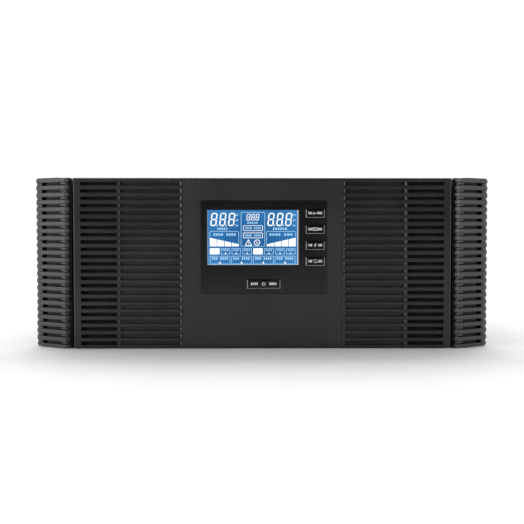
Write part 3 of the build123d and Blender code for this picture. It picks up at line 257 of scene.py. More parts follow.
def lit_screen(name, deep, pale):
    """Backlit blue liquid crystal: deep in the middle, paler at the edges, slightly patchy.

    The tone goes by how far a point is from the middle, in halves of the screen, plus a slow noise.
    """
    patch_mm, patch_share, tone_range = 26.0, 0.55, (0.65, 1.75)
    material, tree = new_material(name)
    low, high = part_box("lcd_panel")
    middle = (Vector(low) + Vector(high)) / 2
    size = Vector(high) - Vector(low)
    place = add_node(tree, "ShaderNodeTexCoord").outputs["Object"]
    centred = add_node(
        tree, "ShaderNodeMapping",
        {"Location": [-m * 2 / s if i != 1 else 0 for i, (m, s) in enumerate(zip(middle, size))],
         "Scale": (2 / size.x, 0, 2 / size.z)},
        {"Vector": place},
    ).outputs[0]
    reach = add_node(
        tree, "ShaderNodeVectorMath", links={0: centred}, attrs={"operation": "LENGTH"}
    ).outputs["Value"]
    patch = object_noise(tree, patch_mm, 2.0)
    wander = add_node(tree, "ShaderNodeMath", {1: patch_share}, {0: patch}, {"operation": "MULTIPLY"})
    total = add_node(tree, "ShaderNodeMath", {}, {0: reach, 1: wander.outputs[0]}, {"operation": "ADD"})
    colour = blend_colours(tree, spread(tree, total.outputs[0], 0, 1, *tone_range), deep, pale)
    return finish_off(
        material, tree,
        {"Emission Strength": 1.0, "Roughness": 0.25, "Base Color": (0.01, 0.03, 0.08, 1)},
        {"Emission Color": colour},
    )


def lit_mark(name, colour, strength):
    """Light that a clear segment lets through, slightly uneven like the backlight behind it; the same glow
    serves for the painted highlight along the screen's edges.
    """
    material, tree = new_material(name)
    patch_mm, dimmest = 9.0, 0.86
    patch = object_noise(tree, patch_mm, 1.0)
    shade = blend_colours(tree, spread(tree, patch, 0, 1), [c * dimmest for c in colour], colour)
    sets = {"Emission Strength": strength, "Roughness": 0.4, "Base Color": (0.05, 0.05, 0.05, 1)}
    return finish_off(material, tree, sets, {"Emission Color": shade})


def clear_window(name):
    """Clear cast acrylic, polished on both faces, so the screen shows through with a faint reflection."""
    material, tree = new_material(name)
    haze = spread(tree, object_noise(tree, 30.0, 1.0), 0.0, 0.02)
    sets = {"Base Color": (0.98, 0.99, 1.0, 1), "Transmission Weight": 1.0, "IOR": 1.49}
    return finish_off(material, tree, sets, {"Roughness": haze})


def wound(name, colour, pitch_mm, centre):
    """Enamelled copper wire laid side by side round a ring: ridges fan out from the ring's axis, with painted
    shade darkening the hollows between turns.
    """
    material, tree = new_material(name)
    place = add_node(tree, "ShaderNodeTexCoord").outputs["Object"]
    centred = add_node(
        tree, "ShaderNodeMapping", {"Location": (-centre[0], -centre[1], 0)}, {"Vector": place}
    ).outputs[0]
    split = add_node(tree, "ShaderNodeSeparateXYZ", links={0: centred})
    angle = add_node(
        tree, "ShaderNodeMath", links={0: split.outputs[1], 1: split.outputs[0]},
        attrs={"operation": "ARCTAN2"},
    )
    turns = float(round(2 * math.pi * WINDING_RADIUS / pitch_mm))
    scaled = add_node(tree, "ShaderNodeMath", {1: turns}, {0: angle.outputs[0]}, {"operation": "MULTIPLY"})
    wave = add_node(
        tree, "ShaderNodeMath", links={0: scaled.outputs[0]}, attrs={"operation": "SINE"}
    ).outputs[0]
    # painted shade: the colour falls to 0.55 in the hollows between turns, following the bump's wave
    base = blend_colours(tree, spread(tree, wave, 0, 1, -1, 1), [c * 0.55 for c in colour], colour)
    bump = add_node(tree, "ShaderNodeBump", {"Distance": 0.25 * MM, "Strength": 1.0}, {"Height": wave})
    sets = {"Metallic": 0.85, "Roughness": 0.35, "Coat Weight": 0.5}
    return finish_off(material, tree, sets, {"Base Color": base, "Normal": bump.outputs[0]})


def circuit_laminate(name):
    """Green solder mask over copper tracks on glass-epoxy: narrow raised lines in rows 2.5 mm apart."""
    material, tree = new_material(name)
    place = add_node(tree, "ShaderNodeTexCoord").outputs["Object"]
    tracks = add_node(
        tree, "ShaderNodeTexBrick",
        {"Scale": 1 / (12 * MM), "Mortar Size": 0.03, "Mortar Smooth": 0.1,
         "Brick Width": 0.9, "Row Height": 0.21},
        {"Vector": place},
    )
    base = blend_colours(tree, tracks.outputs["Fac"], linear("#0c3d1e"), linear("#1d6a37"))
    bump = add_node(tree, "ShaderNodeBump", {"Distance": 0.05 * MM}, {"Height": tracks.outputs["Fac"]})
    sets = {"Roughness": 0.3, "Coat Weight": 0.3}
    return finish_off(material, tree, sets, {"Base Color": base, "Normal": bump.outputs[0]})


# ------------------------------------------------------------------ the finishes
def make_finishes(settings):
    """Every finish of the CAD nodes, by the record's slot name.

    After its colour each has its roughness, its grain and relief in millimetres, then where needed how far
    its tone wanders, how metallic it is, and how its grain is drawn out along X, Y and Z.
    """
    toroid_low, toroid_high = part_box("transformer_winding")
    toroid = [(a + b) / 2 for a, b in zip(toroid_low, toroid_high)]
    return {
        # ABS from a spark-eroded mould: satin black with a fine grain, drawn a little coarse to show
        "moulded_abs": textured("moulded_abs", settings.abs_colour, 0.42, 0.7, 0.035),
        # ABS from a finer mould face: even matte grey-black
        "smooth_abs": textured("smooth_abs", settings.panel_colour, 0.5, 0.5, 0.02, 0.15),
        # printed polycarbonate frame: nearly smooth, darker than the mouldings
        "display_black": textured("display_black", settings.plate_colour, 0.27, 0.9, 0.008, 0.15),
        # the window and the screen behind it have finishes of their own
        "clear_lens": clear_window("clear_lens"),
        "lcd_blue": lit_screen("lcd_blue", settings.screen_deep, settings.screen_pale),
        # light guide: milky white acrylic
        "white_plastic": textured("white_plastic", linear("#e9ebee"), 0.35, 2.0, 0.01, 0.03),
        # zinc plate, cleared bright: cool grey with soft streaks
        "zinc_steel": textured("zinc_steel", linear("#b9bcc2"), 0.34, 1.6, 0.006, 0.08, 1.0, (1, 4, 1)),
        # black oxide on steel: dark, oily sheen
        "black_screw": textured("black_screw", linear("#2a2a2c"), 0.32, 0.5, 0.01, 0.15, 0.7),
        "circuit_board": circuit_laminate("circuit_board"),
        # compression-moulded thermoset: flat black, slightly mottled
        "black_plastic": textured("black_plastic", linear("#1a1a1b"), 0.45, 0.8, 0.015, 0.18),
        # moulded key caps: satin, finer than the bezel
        "key_black": textured("key_black", linear("#060607"), 0.24, 0.6, 0.006, 0.15),
        # fine-texture polyester powder coat: orange peel about a millimetre across
        "powder_coat": textured("powder_coat", settings.coat_colour, 0.5, 0.9, 0.06, 0.2),
        # reticulated foam: open cells a couple of millimetres wide
        "filter_foam": textured("filter_foam", linear("#0b0b0c"), 0.95, 1.8, 0.8, 0.6),
        # moulded rubber: matte, faint bloom
        "foot_rubber": textured("foot_rubber", linear("#161616"), 0.8, 1.0, 0.03, 0.25),
        # glass-filled nylon: matte with fine flow marks
        "fan_plastic": textured("fan_plastic", linear("#19191b"), 0.48, 1.1, 0.02, 0.2, 0.0, (3, 1, 1)),
        # bright nickel-chrome plate on wire
        "chromed_wire": textured("chromed_wire", linear("#c9ccd0"), 0.16, 2.4, 0.003, 0.05, 1.0),
        # ivory moulded lever
        "lever_plastic": textured("lever_plastic", linear("#d9d7cd"), 0.35, 1.2, 0.01, 0.04),
        # red moulded shroud
        "red_plastic": textured("red_plastic", linear("#a81616"), 0.38, 0.9, 0.012, 0.12),
        # turned brass under clear nickel: warm, with lathe lines round the axis
        "plated_brass": textured("plated_brass", linear("#c9aa62"), 0.28, 0.6, 0.01, 0.1, 1.0, (4, 0.4, 4)),
        # green moulded terminal housing
        "terminal_green": textured("terminal_green", linear("#1f7a44"), 0.42, 0.9, 0.015, 0.12),
        "copper_winding": wound("copper_winding", linear("#b8692f"), 1.4, toroid),
        # wound silicon steel: dark bluish, rolled
        "core_steel": textured("core_steel", linear("#6c7078"), 0.4, 0.8, 0.01, 0.15, 1.0, (6, 6, 0.5)),
        # extruded aluminium: drawn lines along its length
        "extruded_aluminium": textured(
            "extruded_aluminium", linear("#c6c8ca"), 0.36, 0.5, 0.012, 0.06, 1.0, (1, 12, 1)
        ),
        # shrink sleeve: glossy dark blue film
        "capacitor_sleeve": textured("capacitor_sleeve", linear("#16204a"), 0.24, 3.0, 0.01, 0.1),
        # blue moulded relay case
        "relay_plastic": textured("relay_plastic", linear("#1b3f94"), 0.35, 0.9, 0.01, 0.1),
        # soft silicone insulation
        "lead_insulation": textured("lead_insulation", linear("#171718"), 0.6, 1.0, 0.02, 0.2),
        # grey PVC ribbon: ridges along the cable for its wires
        "ribbon_grey": textured("ribbon_grey", linear("#8c8d90"), 0.45, 1.2, 0.08, 0.1, 0.0, (20, 20, 1)),
    }


# ------------------------------------------------------------------ flat marks
def arc(centre, radius, start, end, count=10):
    """Points on an arc: the centre plus the radius times the cosine and sine of evenly spaced angles."""
    angles = np.radians(np.linspace(start, end, count))
    return np.stack([centre[0] + radius * np.cos(angles), centre[1] + radius * np.sin(angles)], 1)


def circle(centre, radius, count=24):
    """Evenly spaced points all round a circle."""
    return arc(centre, radius, 0, 360 - 360 / count, count)


def rounded_loop(x, z, radius, count=5):
    """A rectangle's outline with a quarter circle at each corner."""
    corners = ((x[1], z[1], 0), (x[0], z[1], 90), (x[0], z[0], 180), (x[1], z[0], 270))
    parts = []
    for corner_x, corner_z, start in corners:
        in_x = corner_x - math.copysign(radius, corner_x - sum(x) / 2)
        in_z = corner_z - math.copysign(radius, corner_z - sum(z) / 2)
        parts.append(arc((in_x, in_z), radius, start, start + 90, count))
    return np.concatenate(parts)


class Marks:
    """Thin closed shapes gathered into one mesh, each drawn in millimetres on the XZ plane."""

    def __init__(self, front_y, back_y):
        self.front_y = front_y
        self.back_y = back_y
        self.points = []
        self.faces = []
        self.count = 0

    def add(self, layers, faces):
        """Adds two layers of points, front then back, and the faces over them."""
        for layer, y in zip(layers, (self.front_y, self.back_y)):
            self.points.append(np.stack([layer[:, 0], np.full(len(layer), y), layer[:, 1]], 1))
        self.faces += [[int(i) + self.count for i in face] for face in faces]
        self.count += 2 * len(layers[0])

    def solid(self, outline):
        """A filled shape: its outline carried from front to back and closed at both ends."""
        outline = np.asarray(outline, float)
        size = len(outline)
        first = np.arange(size)
        after = (first + 1) % size
        sides = np.stack([first, first + size, after + size, after], 1)
        self.add((outline, outline), [first, first[::-1] + size, *sides])

    def ring(self, outer, inner):
        """A band between two loops of as many points: four strips round a hollow."""
        size = len(outer)
        both = np.concatenate([outer, inner])
        first = np.arange(size)
        after = (first + 1) % size
        front = np.stack([first, after, after + size, first + size], 1)
        back = front[:, ::-1] + 2 * size
        outside = np.stack([first, first + 2 * size, after + 2 * size, after], 1)
        inside = np.stack([first + size, after + size, after + 3 * size, first + 3 * size], 1)
        self.add((both, both), [*front, *back, *outside, *inside])

    def bar(self, x, z):
        """A plain rectangle."""
        self.solid([(x[0], z[0]), (x[1], z[0]), (x[1], z[1]), (x[0], z[1])])

    def frame(self, x, z, width, radius):
        """A rounded rectangular outline, width thick, inside the given limits."""
        outer = rounded_loop(x, z, radius)
        inner_x, inner_z = ((limits[0] + width, limits[1] - width) for limits in (x, z))
        inner = rounded_loop(inner_x, inner_z, max(radius - width, 0.05))
        self.ring(outer, inner)

    def stroke(self, path, width):
        """A line of even width: each point is pushed both ways along the mean normal of its two runs."""
        path = np.asarray(path, float)
        runs = np.diff(path, axis=0)
        runs /= np.linalg.norm(runs, axis=1)[:, None]
        ahead = np.concatenate([runs, runs[-1:]])
        behind = np.concatenate([runs[:1], runs])
        mean = ahead + behind
        mean /= np.linalg.norm(mean, axis=1)[:, None]
        normal = np.stack([-mean[:, 1], mean[:, 0]], 1)
        reach = width / 2 / np.clip((mean * ahead).sum(1), 0.5, 1)[:, None]
        left, right = path + normal * reach, path - normal * reach
        size = len(path)
        both = np.concatenate([left, right])
        first = np.arange(size - 1)
        front = np.stack([first, first + size, first + size + 1, first + 1], 1)
        back = front[:, ::-1] + 2 * size
        top = np.stack([first, first + 1, first + 1 + 2 * size, first + 2 * size], 1)
        bottom = np.stack([first + size, first + 3 * size, first + 3 * size + 1, first + size + 1], 1)
        ends = [[0, 2 * size, 3 * size, size], [size - 1, 2 * size - 1, 4 * size - 1, 3 * size - 1]]
        self.add((both, both), [*front, *back, *top, *bottom, *ends])

    def build(self, name, material, body, slot_name):
        """Makes the mesh, in metres, and lets it ride on its body."""
        mesh = bpy.data.meshes.new(name)
        mesh.from_pydata((np.concatenate(self.points) * MM).tolist(), [], self.faces)
        mesh.validate()
        mesh.update()
        return place_piece(name, mesh, material, body)


def recalculate(mesh):
    """Turns every face of a closed mesh outwards."""
    work = bmesh.new()
    work.from_mesh(mesh)
    bmesh.ops.recalc_face_normals(work, faces=work.faces)
    work.to_mesh(mesh)
    work.free()


def place_piece(name, mesh, material, body):
    """Adds a finished mesh to the scene as a piece that rides on a body."""
    recalculate(mesh)
    piece = bpy.data.objects.new(name, mesh)
    bpy.context.scene.collection.objects.link(piece)
    mesh.materials.append(material)
    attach(piece, body)
    return piece


def in_millimetres(node):
    """A CAD node's box at rest, in millimetres."""
    low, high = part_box(node)
    return np.array(low) / MM, np.array(high) / MM


# ------------------------------------------------------------------ the screen's marks
SEGMENTS = {
    # each bar of a figure, as its two ends on a 1 by 2 grid
    "a": ((0, 2), (1, 2)), "b": ((1, 2), (1, 1)), "c": ((1, 1), (1, 0)), "d": ((0, 0), (1, 0)),
    "e": ((0, 1), (0, 0)), "f": ((0, 2), (0, 1)), "g": ((0, 1), (1, 1)),
}
FIGURE_COUNT = 3
FIGURE_SLANT = 0.12
POINTED = (0, 1)              # the figures with a decimal point after them
POINT = (0.75, 0.8)           # a point's gap and size, in line thicknesses
SEGMENT_GAP = 0.16            # between the ends of two bars, in line thicknesses
LETTER_FILL = (0.14, 0.80)    # the part of its place that a stand-in letter fills

# The screen's layout, in millimetres from its left and its top edge.
SCREEN_SIZE = (94.3, 56.0)    # the width and height that the layout is drawn for
MARK_GAP = (0.07, 0.02)       # from the panel's face to the marks' front and back
LARGE_GROUPS = ((3.2, 28.8), (62.6, 88.4))   # x of a group's first figure, and of its unit marks
LARGE_FOOT = 15.6
LARGE_FIGURE = {"width": 5.2, "thick": 1.35, "pitch": 9.2}
UNIT_MARKS = (4.0, 9.4, 14.8)
UNIT_SIZE = (3.2, 1.7)
UNIT_LETTERS = (2,)
SMALL_FIRST = (40.6, 10.2)
SMALL_FIGURE = {"width": 2.9, "height": 6.2, "thick": 0.7, "pitch": 4.7}
MIDDLE_FRAME = ((34.5, 59.7), (1.9, 37.2), 1.2)   # x, drop and corner radius
WORDS = (                     # x, drop, and the number of letters in each word
    ((9.8, 20.8), (17.9, 20.2), (5,)),
    ((67.6, 83.0), (17.9, 20.2), (6,)),
    ((41.0, 52.4), (12.0, 13.8), (5,)),
)
GAUGE_WORDS = (
    ((5.9, 29.6), (23.7, 26.2), (4, 4)),
    ((64.0, 88.6), (23.7, 26.2), (4, 3)),
)
STATE_BOXES = (15.6, 23.0)    # drop of the two boxes in the middle frame
STATE_BOX_X = (36.8, 57.4)
STATE_WORDS_X = (38.6, 55.6)
STATE_WORDS = (4, 4)
STATE_BOX_RADIUS = 1.0
STATE_BOX_DROPS = (5.6, 1.9, 3.8)   # a box's foot, and its words' top and foot, below its top
TRIANGLE = ((39.0, 36.3), (45.8, 36.3), (42.4, 30.4))
TRIANGLE_STEM_X = (42.15, 42.65)
TRIANGLE_STEM = ((32.6, 34.6), (35.0, 35.5))
CLOCK = (51.4, 33.2)
CLOCK_RADIUS = 3.2
CLOCK_HAND = ((-1.1, 1.7), (-0.2, 0.1), (0.9, 0.1), (-0.3, -1.9))   # about the clock's middle
CLOCK_HAND_WIDTH = 0.5
SYMBOL_LINE = 1.3             # the symbols' lines, in thicknesses of an outline
BRACKETS = ((2.2, 32.3), (91.7, 61.2))
BRACKET_TOP = 21.7
BRACKET_CORNER = 1.0
BRACKET_LEGS = (27.2, 34.4)
GAUGE_STEPS = ((2.2, 9.4), (10.1, 16.9), (17.7, 24.2), (25.0, 32.4))
GAUGE_TOP = 28.2
GAUGE_FOOT = 37.1
GAUGE_FALL = 0.225            # drop of the gauge's top for each millimetre along it
GAUGE_MIRROR = 93.9           # a place and its mirror image add up to this
SHORT_BOXES = (
    (2.2, 12.3), (13.6, 23.4), (25.0, 34.5), (36.4, 45.9),
    (47.4, 57.3), (58.8, 68.7), (70.6, 80.1), (81.6, 91.4),
)
LIT_BOXES = (0, 4)            # these short boxes are lit all over
LONG_BOXES = ((2.2, 23.4), (24.6, 45.9), (47.4, 68.7), (69.8, 91.4))
SHORT_ROW = {
    "drop": (39.0, 45.3), "radius": 0.5, "inset": 1.6, "words_drop": (40.2, 41.8), "words": (4,),
    "pointer": (0.9, 0.7, 2.4),   # half its width, and its foot and tip above the box's foot
}
LONG_ROW = {
    "drop": (46.9, 55.4), "radius": 0.6, "inset": 1.8, "words_drop": (48.2, 50.8), "words": (3, 4),
    "pointer": (1.2, 0.8, 3.0),
}
# painted highlight: glowing bars where light catches the window's bevelled edges, widest on the right
EDGE_HIGHLIGHT_GAP = (0.09, 0.01)
EDGE_HIGHLIGHT = {"right": 0.95, "left": 0.22, "foot": 0.3}


def segment_bar(marks, start, end, thick, origin, size):
    """One lozenge-ended bar of a figure, leaning by the slant times its height."""
    start, end = (np.array(point, float) * size for point in (start, end))
    along = (end - start) / np.linalg.norm(end - start)
    across = np.array([-along[1], along[0]]) * thick / 2
    gap = along * thick * SEGMENT_GAP
    tip = along * thick / 2
    first, last = start + gap, end - gap
    outline = np.array([
        first, first + tip + across, last - tip + across, last, last - tip - across, first + tip - across,
    ])
    outline[:, 0] += outline[:, 1] * FIGURE_SLANT
    marks.solid(outline + origin)


def figures(marks, x, z, width, height, thick, pitch):
    """A row of eights with their decimal points, as an idle display shows them all."""
    gap, size = (share * thick for share in POINT)
    for place in range(FIGURE_COUNT):
        origin = np.array([x + pitch * place, z])
        for start, end in SEGMENTS.values():
            segment_bar(marks, start, end, thick, origin, np.array([width, height / 2]))
        if place in POINTED:
            point_x = origin[0] + width + gap
            foot = z - thick / 2
            marks.bar((point_x, point_x + size), (foot, foot + size))


def label_bar(marks, x, z, words):
    """A plain stand-in for a printed word: short even blocks with gaps between them."""
    letters = sum(words) + len(words) - 1
    step = (x[1] - x[0]) / letters
    at = x[0]
    for word in words:
        for _ in range(word):
            marks.bar((at + step * LETTER_FILL[0], at + step * LETTER_FILL[1]), z)
            at += step
        at += step


class Sheet:
    """The screen's layout: turns distances from its left and top edges into places, and gathers the marks."""

    def __init__(self, display):
        low, high = in_millimetres("lcd_panel")
        self.left, self.top = low[0], high[2]
        self.scale_x = (high[0] - low[0]) / SCREEN_SIZE[0]
        self.scale_z = (high[2] - low[2]) / SCREEN_SIZE[1]
        self.line = display.line_width / MM
        self.tall = display.digit_height / MM
        front, back = (low[1] - gap for gap in MARK_GAP)
        self.white = Marks(front, back)
        self.pale = Marks(front, back)

    def across(self, *values):
        """Places on X for distances from the left edge."""
        return tuple(self.left + value * self.scale_x for value in values)

    def down(self, *values):
        """Places on Z for distances from the top edge, the last one first."""
        return tuple(self.top - value * self.scale_z for value in reversed(values))

    def point(self, x, drop):
        """One point of the layout."""
        return self.across(x)[0], self.down(drop)[0]

    def words(self, x, drop, letters):
        """A stand-in for words between two distances from the left edge."""
        label_bar(self.pale, self.across(*x), self.down(*drop), letters)


def figure_groups(sheet):
    """Large figures with their unit marks at each side, and small figures in the middle."""
    for first_x, unit_x in LARGE_GROUPS:
        figures(sheet.white, *sheet.point(first_x, LARGE_FOOT), height=sheet.tall, **LARGE_FIGURE)
        for drop in UNIT_MARKS:
            sheet.words((unit_x, unit_x + UNIT_SIZE[0]), (drop, drop + UNIT_SIZE[1]), UNIT_LETTERS)
    figures(sheet.white, *sheet.point(*SMALL_FIRST), **SMALL_FIGURE)


def middle_column(sheet):
    """The middle frame with its two state boxes, and the words under the figures."""
    x, drop, radius = MIDDLE_FRAME
    sheet.pale.frame(sheet.across(*x), sheet.down(*drop), sheet.line, radius)
    for words in WORDS:
        sheet.words(*words)
    foot, words_top, words_foot = STATE_BOX_DROPS
    for top in STATE_BOXES:
        box_z = sheet.down(top, top + foot)
        sheet.white.frame(sheet.across(*STATE_BOX_X), box_z, sheet.line, STATE_BOX_RADIUS)
        sheet.words(STATE_WORDS_X, (top + words_top, top + words_foot), STATE_WORDS)


def warning_and_clock(sheet):
    """A triangle with an upright mark in it, and a circle with a bent hand."""
    width = sheet.line * SYMBOL_LINE
    corners = [np.array(sheet.point(*corner)) for corner in TRIANGLE]
    sheet.white.stroke([*corners, corners[0]], width)
    for drop in TRIANGLE_STEM:
        sheet.white.bar(sheet.across(*TRIANGLE_STEM_X), sheet.down(*drop))
    centre = sheet.point(*CLOCK)
    sheet.white.ring(circle(centre, CLOCK_RADIUS), circle(centre, CLOCK_RADIUS - width))
    sheet.white.stroke(np.array(CLOCK_HAND) + centre, CLOCK_HAND_WIDTH)


def level_gauges(sheet):
    """A falling gauge on the left and its mirror image on the right, each under a bracket and words."""
    short_leg, long_leg = (sheet.down(leg)[0] for leg in BRACKET_LEGS)
    top, below = (sheet.down(drop)[0] for drop in (BRACKET_TOP, BRACKET_TOP + BRACKET_CORNER))
    for ends in BRACKETS:
        first, last = sheet.across(*ends)
        corner = math.copysign(BRACKET_CORNER, last - first)
        sheet.pale.stroke([
            (first, short_leg), (first, below), (first + corner, top),
            (last - corner, top), (last, below), (last, long_leg),
        ], sheet.line)
    for words in GAUGE_WORDS:
        sheet.words(*words)
    foot = sheet.down(GAUGE_FOOT)[0]
    for ends in GAUGE_STEPS:
        tops = [sheet.down(GAUGE_TOP + (x - GAUGE_STEPS[0][0]) * GAUGE_FALL)[0] for x in ends]
        for mirrored in (False, True):
            xs = sheet.across(*(GAUGE_MIRROR - x if mirrored else x for x in ends))
            outline = [(xs[0], foot), (xs[1], foot), (xs[1], tops[1]), (xs[0], tops[0])]
            sheet.white.solid(outline[::-1] if mirrored else outline)


def pointer_row(sheet, boxes, row, lit=()):
    """A row of boxes, each with words and a pointer in it, apart from those that are lit all over."""
    zs = sheet.down(*row["drop"])
    half_width, foot, tip = row["pointer"]
    for index, ends in enumerate(boxes):
        xs = sheet.across(*ends)
        if index in lit:
            sheet.white.solid(rounded_loop(xs, zs, row["radius"]))
            continue
        sheet.pale.frame(xs, zs, sheet.line, row["radius"])
        words_x = (xs[0] + row["inset"], xs[1] - row["inset"])
        label_bar(sheet.pale, words_x, sheet.down(*row["words_drop"]), row["words"])
        middle = sum(xs) / 2
        base = zs[0] + foot
        sheet.white.solid([(middle - half_width, base), (middle + half_width, base), (middle, zs[0] + tip)])


def screen_marks(display):
    """Figures, frames, bars and pointers of the screen: the white ones and the pale ones."""
    sheet = Sheet(display)
    figure_groups(sheet)
    middle_column(sheet)
    warning_and_clock(sheet)
    level_gauges(sheet)
    pointer_row(sheet, SHORT_BOXES, SHORT_ROW, LIT_BOXES)
    pointer_row(sheet, LONG_BOXES, LONG_ROW)
    return sheet.white, sheet.pale


def screen_edge_highlight():
    """Painted highlight: glowing bars along the screen's right side, thinner along its foot and left side,
    standing for light caught on the window's bevelled edges.
    """
    low, high = in_millimetres("lcd_panel")
    edge = Marks(*(low[1] - gap for gap in EDGE_HIGHLIGHT_GAP))
    edge.bar((high[0] - EDGE_HIGHLIGHT["right"], high[0]), (low[2], high[2]))
    edge.bar((low[0], low[0] + EDGE_HIGHLIGHT["left"]), (low[2], high[2]))
    edge.bar((low[0], high[0]), (low[2], low[2] + EDGE_HIGHLIGHT["foot"]))
    return edge


# ------------------------------------------------------------------ marks on the keys
KEYS = {
    "enter_button": ("enter", "enter_key"), "battery_button": ("battery", "battery_key"),
    "charge_button": ("charge", "charge_key"), "mode_button": ("mode", "mode_key"),
    "power_button": ("power", "power_key"),
}
KEY_STROKES = {
    # the centre lines of each mark about the key's middle, in halves of the mark's height
    "enter": [[(1.5, 1), (1.5, -0.2), (-1.2, -0.2)], [(-0.5, 0.45), (-1.3, -0.2), (-0.5, -0.85)]],
    "battery": [
        [(-1.5, -0.7), (1.3, -0.7), (1.3, 0.7), (-1.5, 0.7), (-1.5, -0.7)],
        [(1.7, -0.3), (1.7, 0.3)], [(-0.8, -0.3), (-0.8, 0.3)], [(0, -0.3), (0, 0.3)],
    ],
    "charge": [[(0.5, 1), (-0.6, -0.05), (0.6, 0.05), (-0.5, -1)]],
    "mode": [
        arc((0, 0), 0.85, 30, 160, 9), arc((0, 0), 0.85, 210, 340, 9),
        [(-1.35, 0.65), (-0.8, 0.3), (-0.5, 0.95)], [(1.35, -0.65), (0.8, -0.3), (0.5, -0.95)],
    ],
    "power": [arc((0, -0.05), 0.85, 125, 415, 18), [(0, 1), (0, 0.1)]],
}
KEY_STROKE_WIDTH = 0.62
KEY_INK = (0.04, 0.02)        # how far the ink stands in front of the cap, and reaches into it
KEY_BARS = (0.36, 0.84)       # a stand-in's ends, in halves of the cap's width from its middle
KEY_BAR_HALF_HEIGHT = 1.25
# painted highlight: pale lines on the plate where light catches each key's left, right and lower edges
KEY_HIGHLIGHT_INSET = 0.3           # from the hidden flange's edge to the painted highlight
KEY_HIGHLIGHT_RAISE = 0.03            # how far the line stands out of the plate, and reaches into it
KEY_HIGHLIGHT = {"left": 0.4, "right": 0.28, "foot": 0.18}
KEY_HIGHLIGHT_GAPS = (0.5, 0.4)     # between the foot line's ends and the highlight's left and right edges


def key_mark(node, kind, height):
    """One key's printed mark, with a short bar at each side as a plain stand-in for its word."""
    low, high = in_millimetres(node)
    middle = (low + high) / 2
    marks = Marks(low[1] - KEY_INK[0], low[1] + KEY_INK[1])
    for path in KEY_STROKES[kind]:
        marks.stroke(np.asarray(path) * height / 2 + middle[[0, 2]], KEY_STROKE_WIDTH)
    half_width = (high[0] - low[0]) / 2 - KEY_FLANGE
    letters = (4,) if kind == "power" else (3,)
    bar_z = (middle[2] - KEY_BAR_HALF_HEIGHT, middle[2] + KEY_BAR_HALF_HEIGHT)
    for side in (-1, 1):
        bar_x = sorted(middle[0] + side * half_width * share for share in KEY_BARS)
        label_bar(marks, bar_x, bar_z, letters)
    return marks


def key_edge_highlight(node):
    """Painted highlight: a fine pale line on the display plate that runs round a key's left, right and lower
    edges, where light catches them.
    """
    low, high = in_millimetres(node)
    face = in_millimetres("display_plate")[0][1]
    left, right = low[0] + KEY_HIGHLIGHT_INSET, high[0] - KEY_HIGHLIGHT_INSET
    foot, top = low[2] + KEY_HIGHLIGHT_INSET, high[2] - KEY_FLANGE
    line = Marks(face - KEY_HIGHLIGHT_RAISE, face + KEY_HIGHLIGHT_RAISE)
    line.bar((left, left + KEY_HIGHLIGHT["left"]), (foot, top))
    line.bar((right - KEY_HIGHLIGHT["right"], right), (foot, top))
    line.bar((left + KEY_HIGHLIGHT_GAPS[0], right - KEY_HIGHLIGHT_GAPS[1]), (foot, foot + KEY_HIGHLIGHT["foot"]))
    return line


# ------------------------------------------------------------------ painted shade in the end covers' grooves
# corners of a strip's foot are 0 to 3, those of its top 4 to 7
BOX_FACES = ((0, 1, 2, 3), (4, 5, 6, 7), (0, 1, 5, 4), (1, 2, 6, 5), (2, 3, 7, 6), (3, 0, 4, 7))


def cover_lining(side):
    """Painted shade: flat near-black strips, one on the floor of each groove in a cover's slanted face, where
    the groove lies in shade.

    Along a strip x grows by s cos a and y by s sin a, a being the face's angle; its depth is measured
    square to the face. The left cover mirrors the right one.
    """
    bezel_low, bezel_high = in_millimetres("front_bezel")
    angle = math.radians(COVER_SLOPE)
    along = np.array([math.cos(angle), math.sin(angle)])
    inward = np.array([-along[1], along[0]])
    ridge = np.array([COVER_RIDGE[0], bezel_low[1] + COVER_RIDGE[1]])
    ends = [(x - COVER_RIDGE[0]) / along[0] for x in GROOVE_SHADE_X]
    front, back = GROOVE_SHADE_DEPTH
    places = ((ends[0], front), (ends[1], front), (ends[1], back), (ends[0], back))
    corners = np.array([ridge + reach * along + depth * inward for reach, depth in places])
    rows = bezel_high[2] - ROW_MARGIN - ROW_PITCH * np.arange(ROW_COUNT)
    points, faces = [], []
    for row, z in enumerate(rows):
        for height in (z - GROOVE_SHADE_HEIGHT / 2, z + GROOVE_SHADE_HEIGHT / 2):
            points.append(np.column_stack([corners[:, 0] * side, corners[:, 1], np.full(4, height)]))
        first = 8 * row
        faces += [[first + corner for corner in face] for face in BOX_FACES]
    mesh = bpy.data.meshes.new("cover_lining")
    mesh.from_pydata((np.concatenate(points) * MM).tolist(), [], faces)
    return mesh


# ------------------------------------------------------------------ studio
def pale_floor(settings):
    """A flat floor: x and y run evenly over a rectangle and z is zero everywhere.

    It ends in front of the object and behind it, where the bright room takes over.
    """
    xs = np.linspace(-FLOOR_HALF, FLOOR_HALF, FLOOR_STEPS[0])
    ys = np.linspace(CAD_BOX[0][1] - FLOOR_FRONT, FLOOR_BACK, FLOOR_STEPS[1])
    grid_x, grid_y = np.meshgrid(xs, ys, indexing="ij")
    grid = np.stack([grid_x, grid_y, np.zeros_like(grid_x)], 2).reshape(-1, 3)
    index = np.arange(len(grid)).reshape(len(xs), len(ys))
    faces = np.stack([index[:-1, :-1], index[1:, :-1], index[1:, 1:], index[:-1, 1:]], 2).reshape(-1, 4)
    mesh = bpy.data.meshes.new("studio_floor")
    mesh.from_pydata(grid.tolist(), [], faces.tolist())
    floor = bpy.data.objects.new("studio_floor", mesh)
    bpy.context.scene.collection.objects.link(floor)
    # matt white paint: even, without relief
    mesh.materials.append(textured("painted_floor", settings.floor_colour, 0.8, 60.0, 0.0, 0.01))


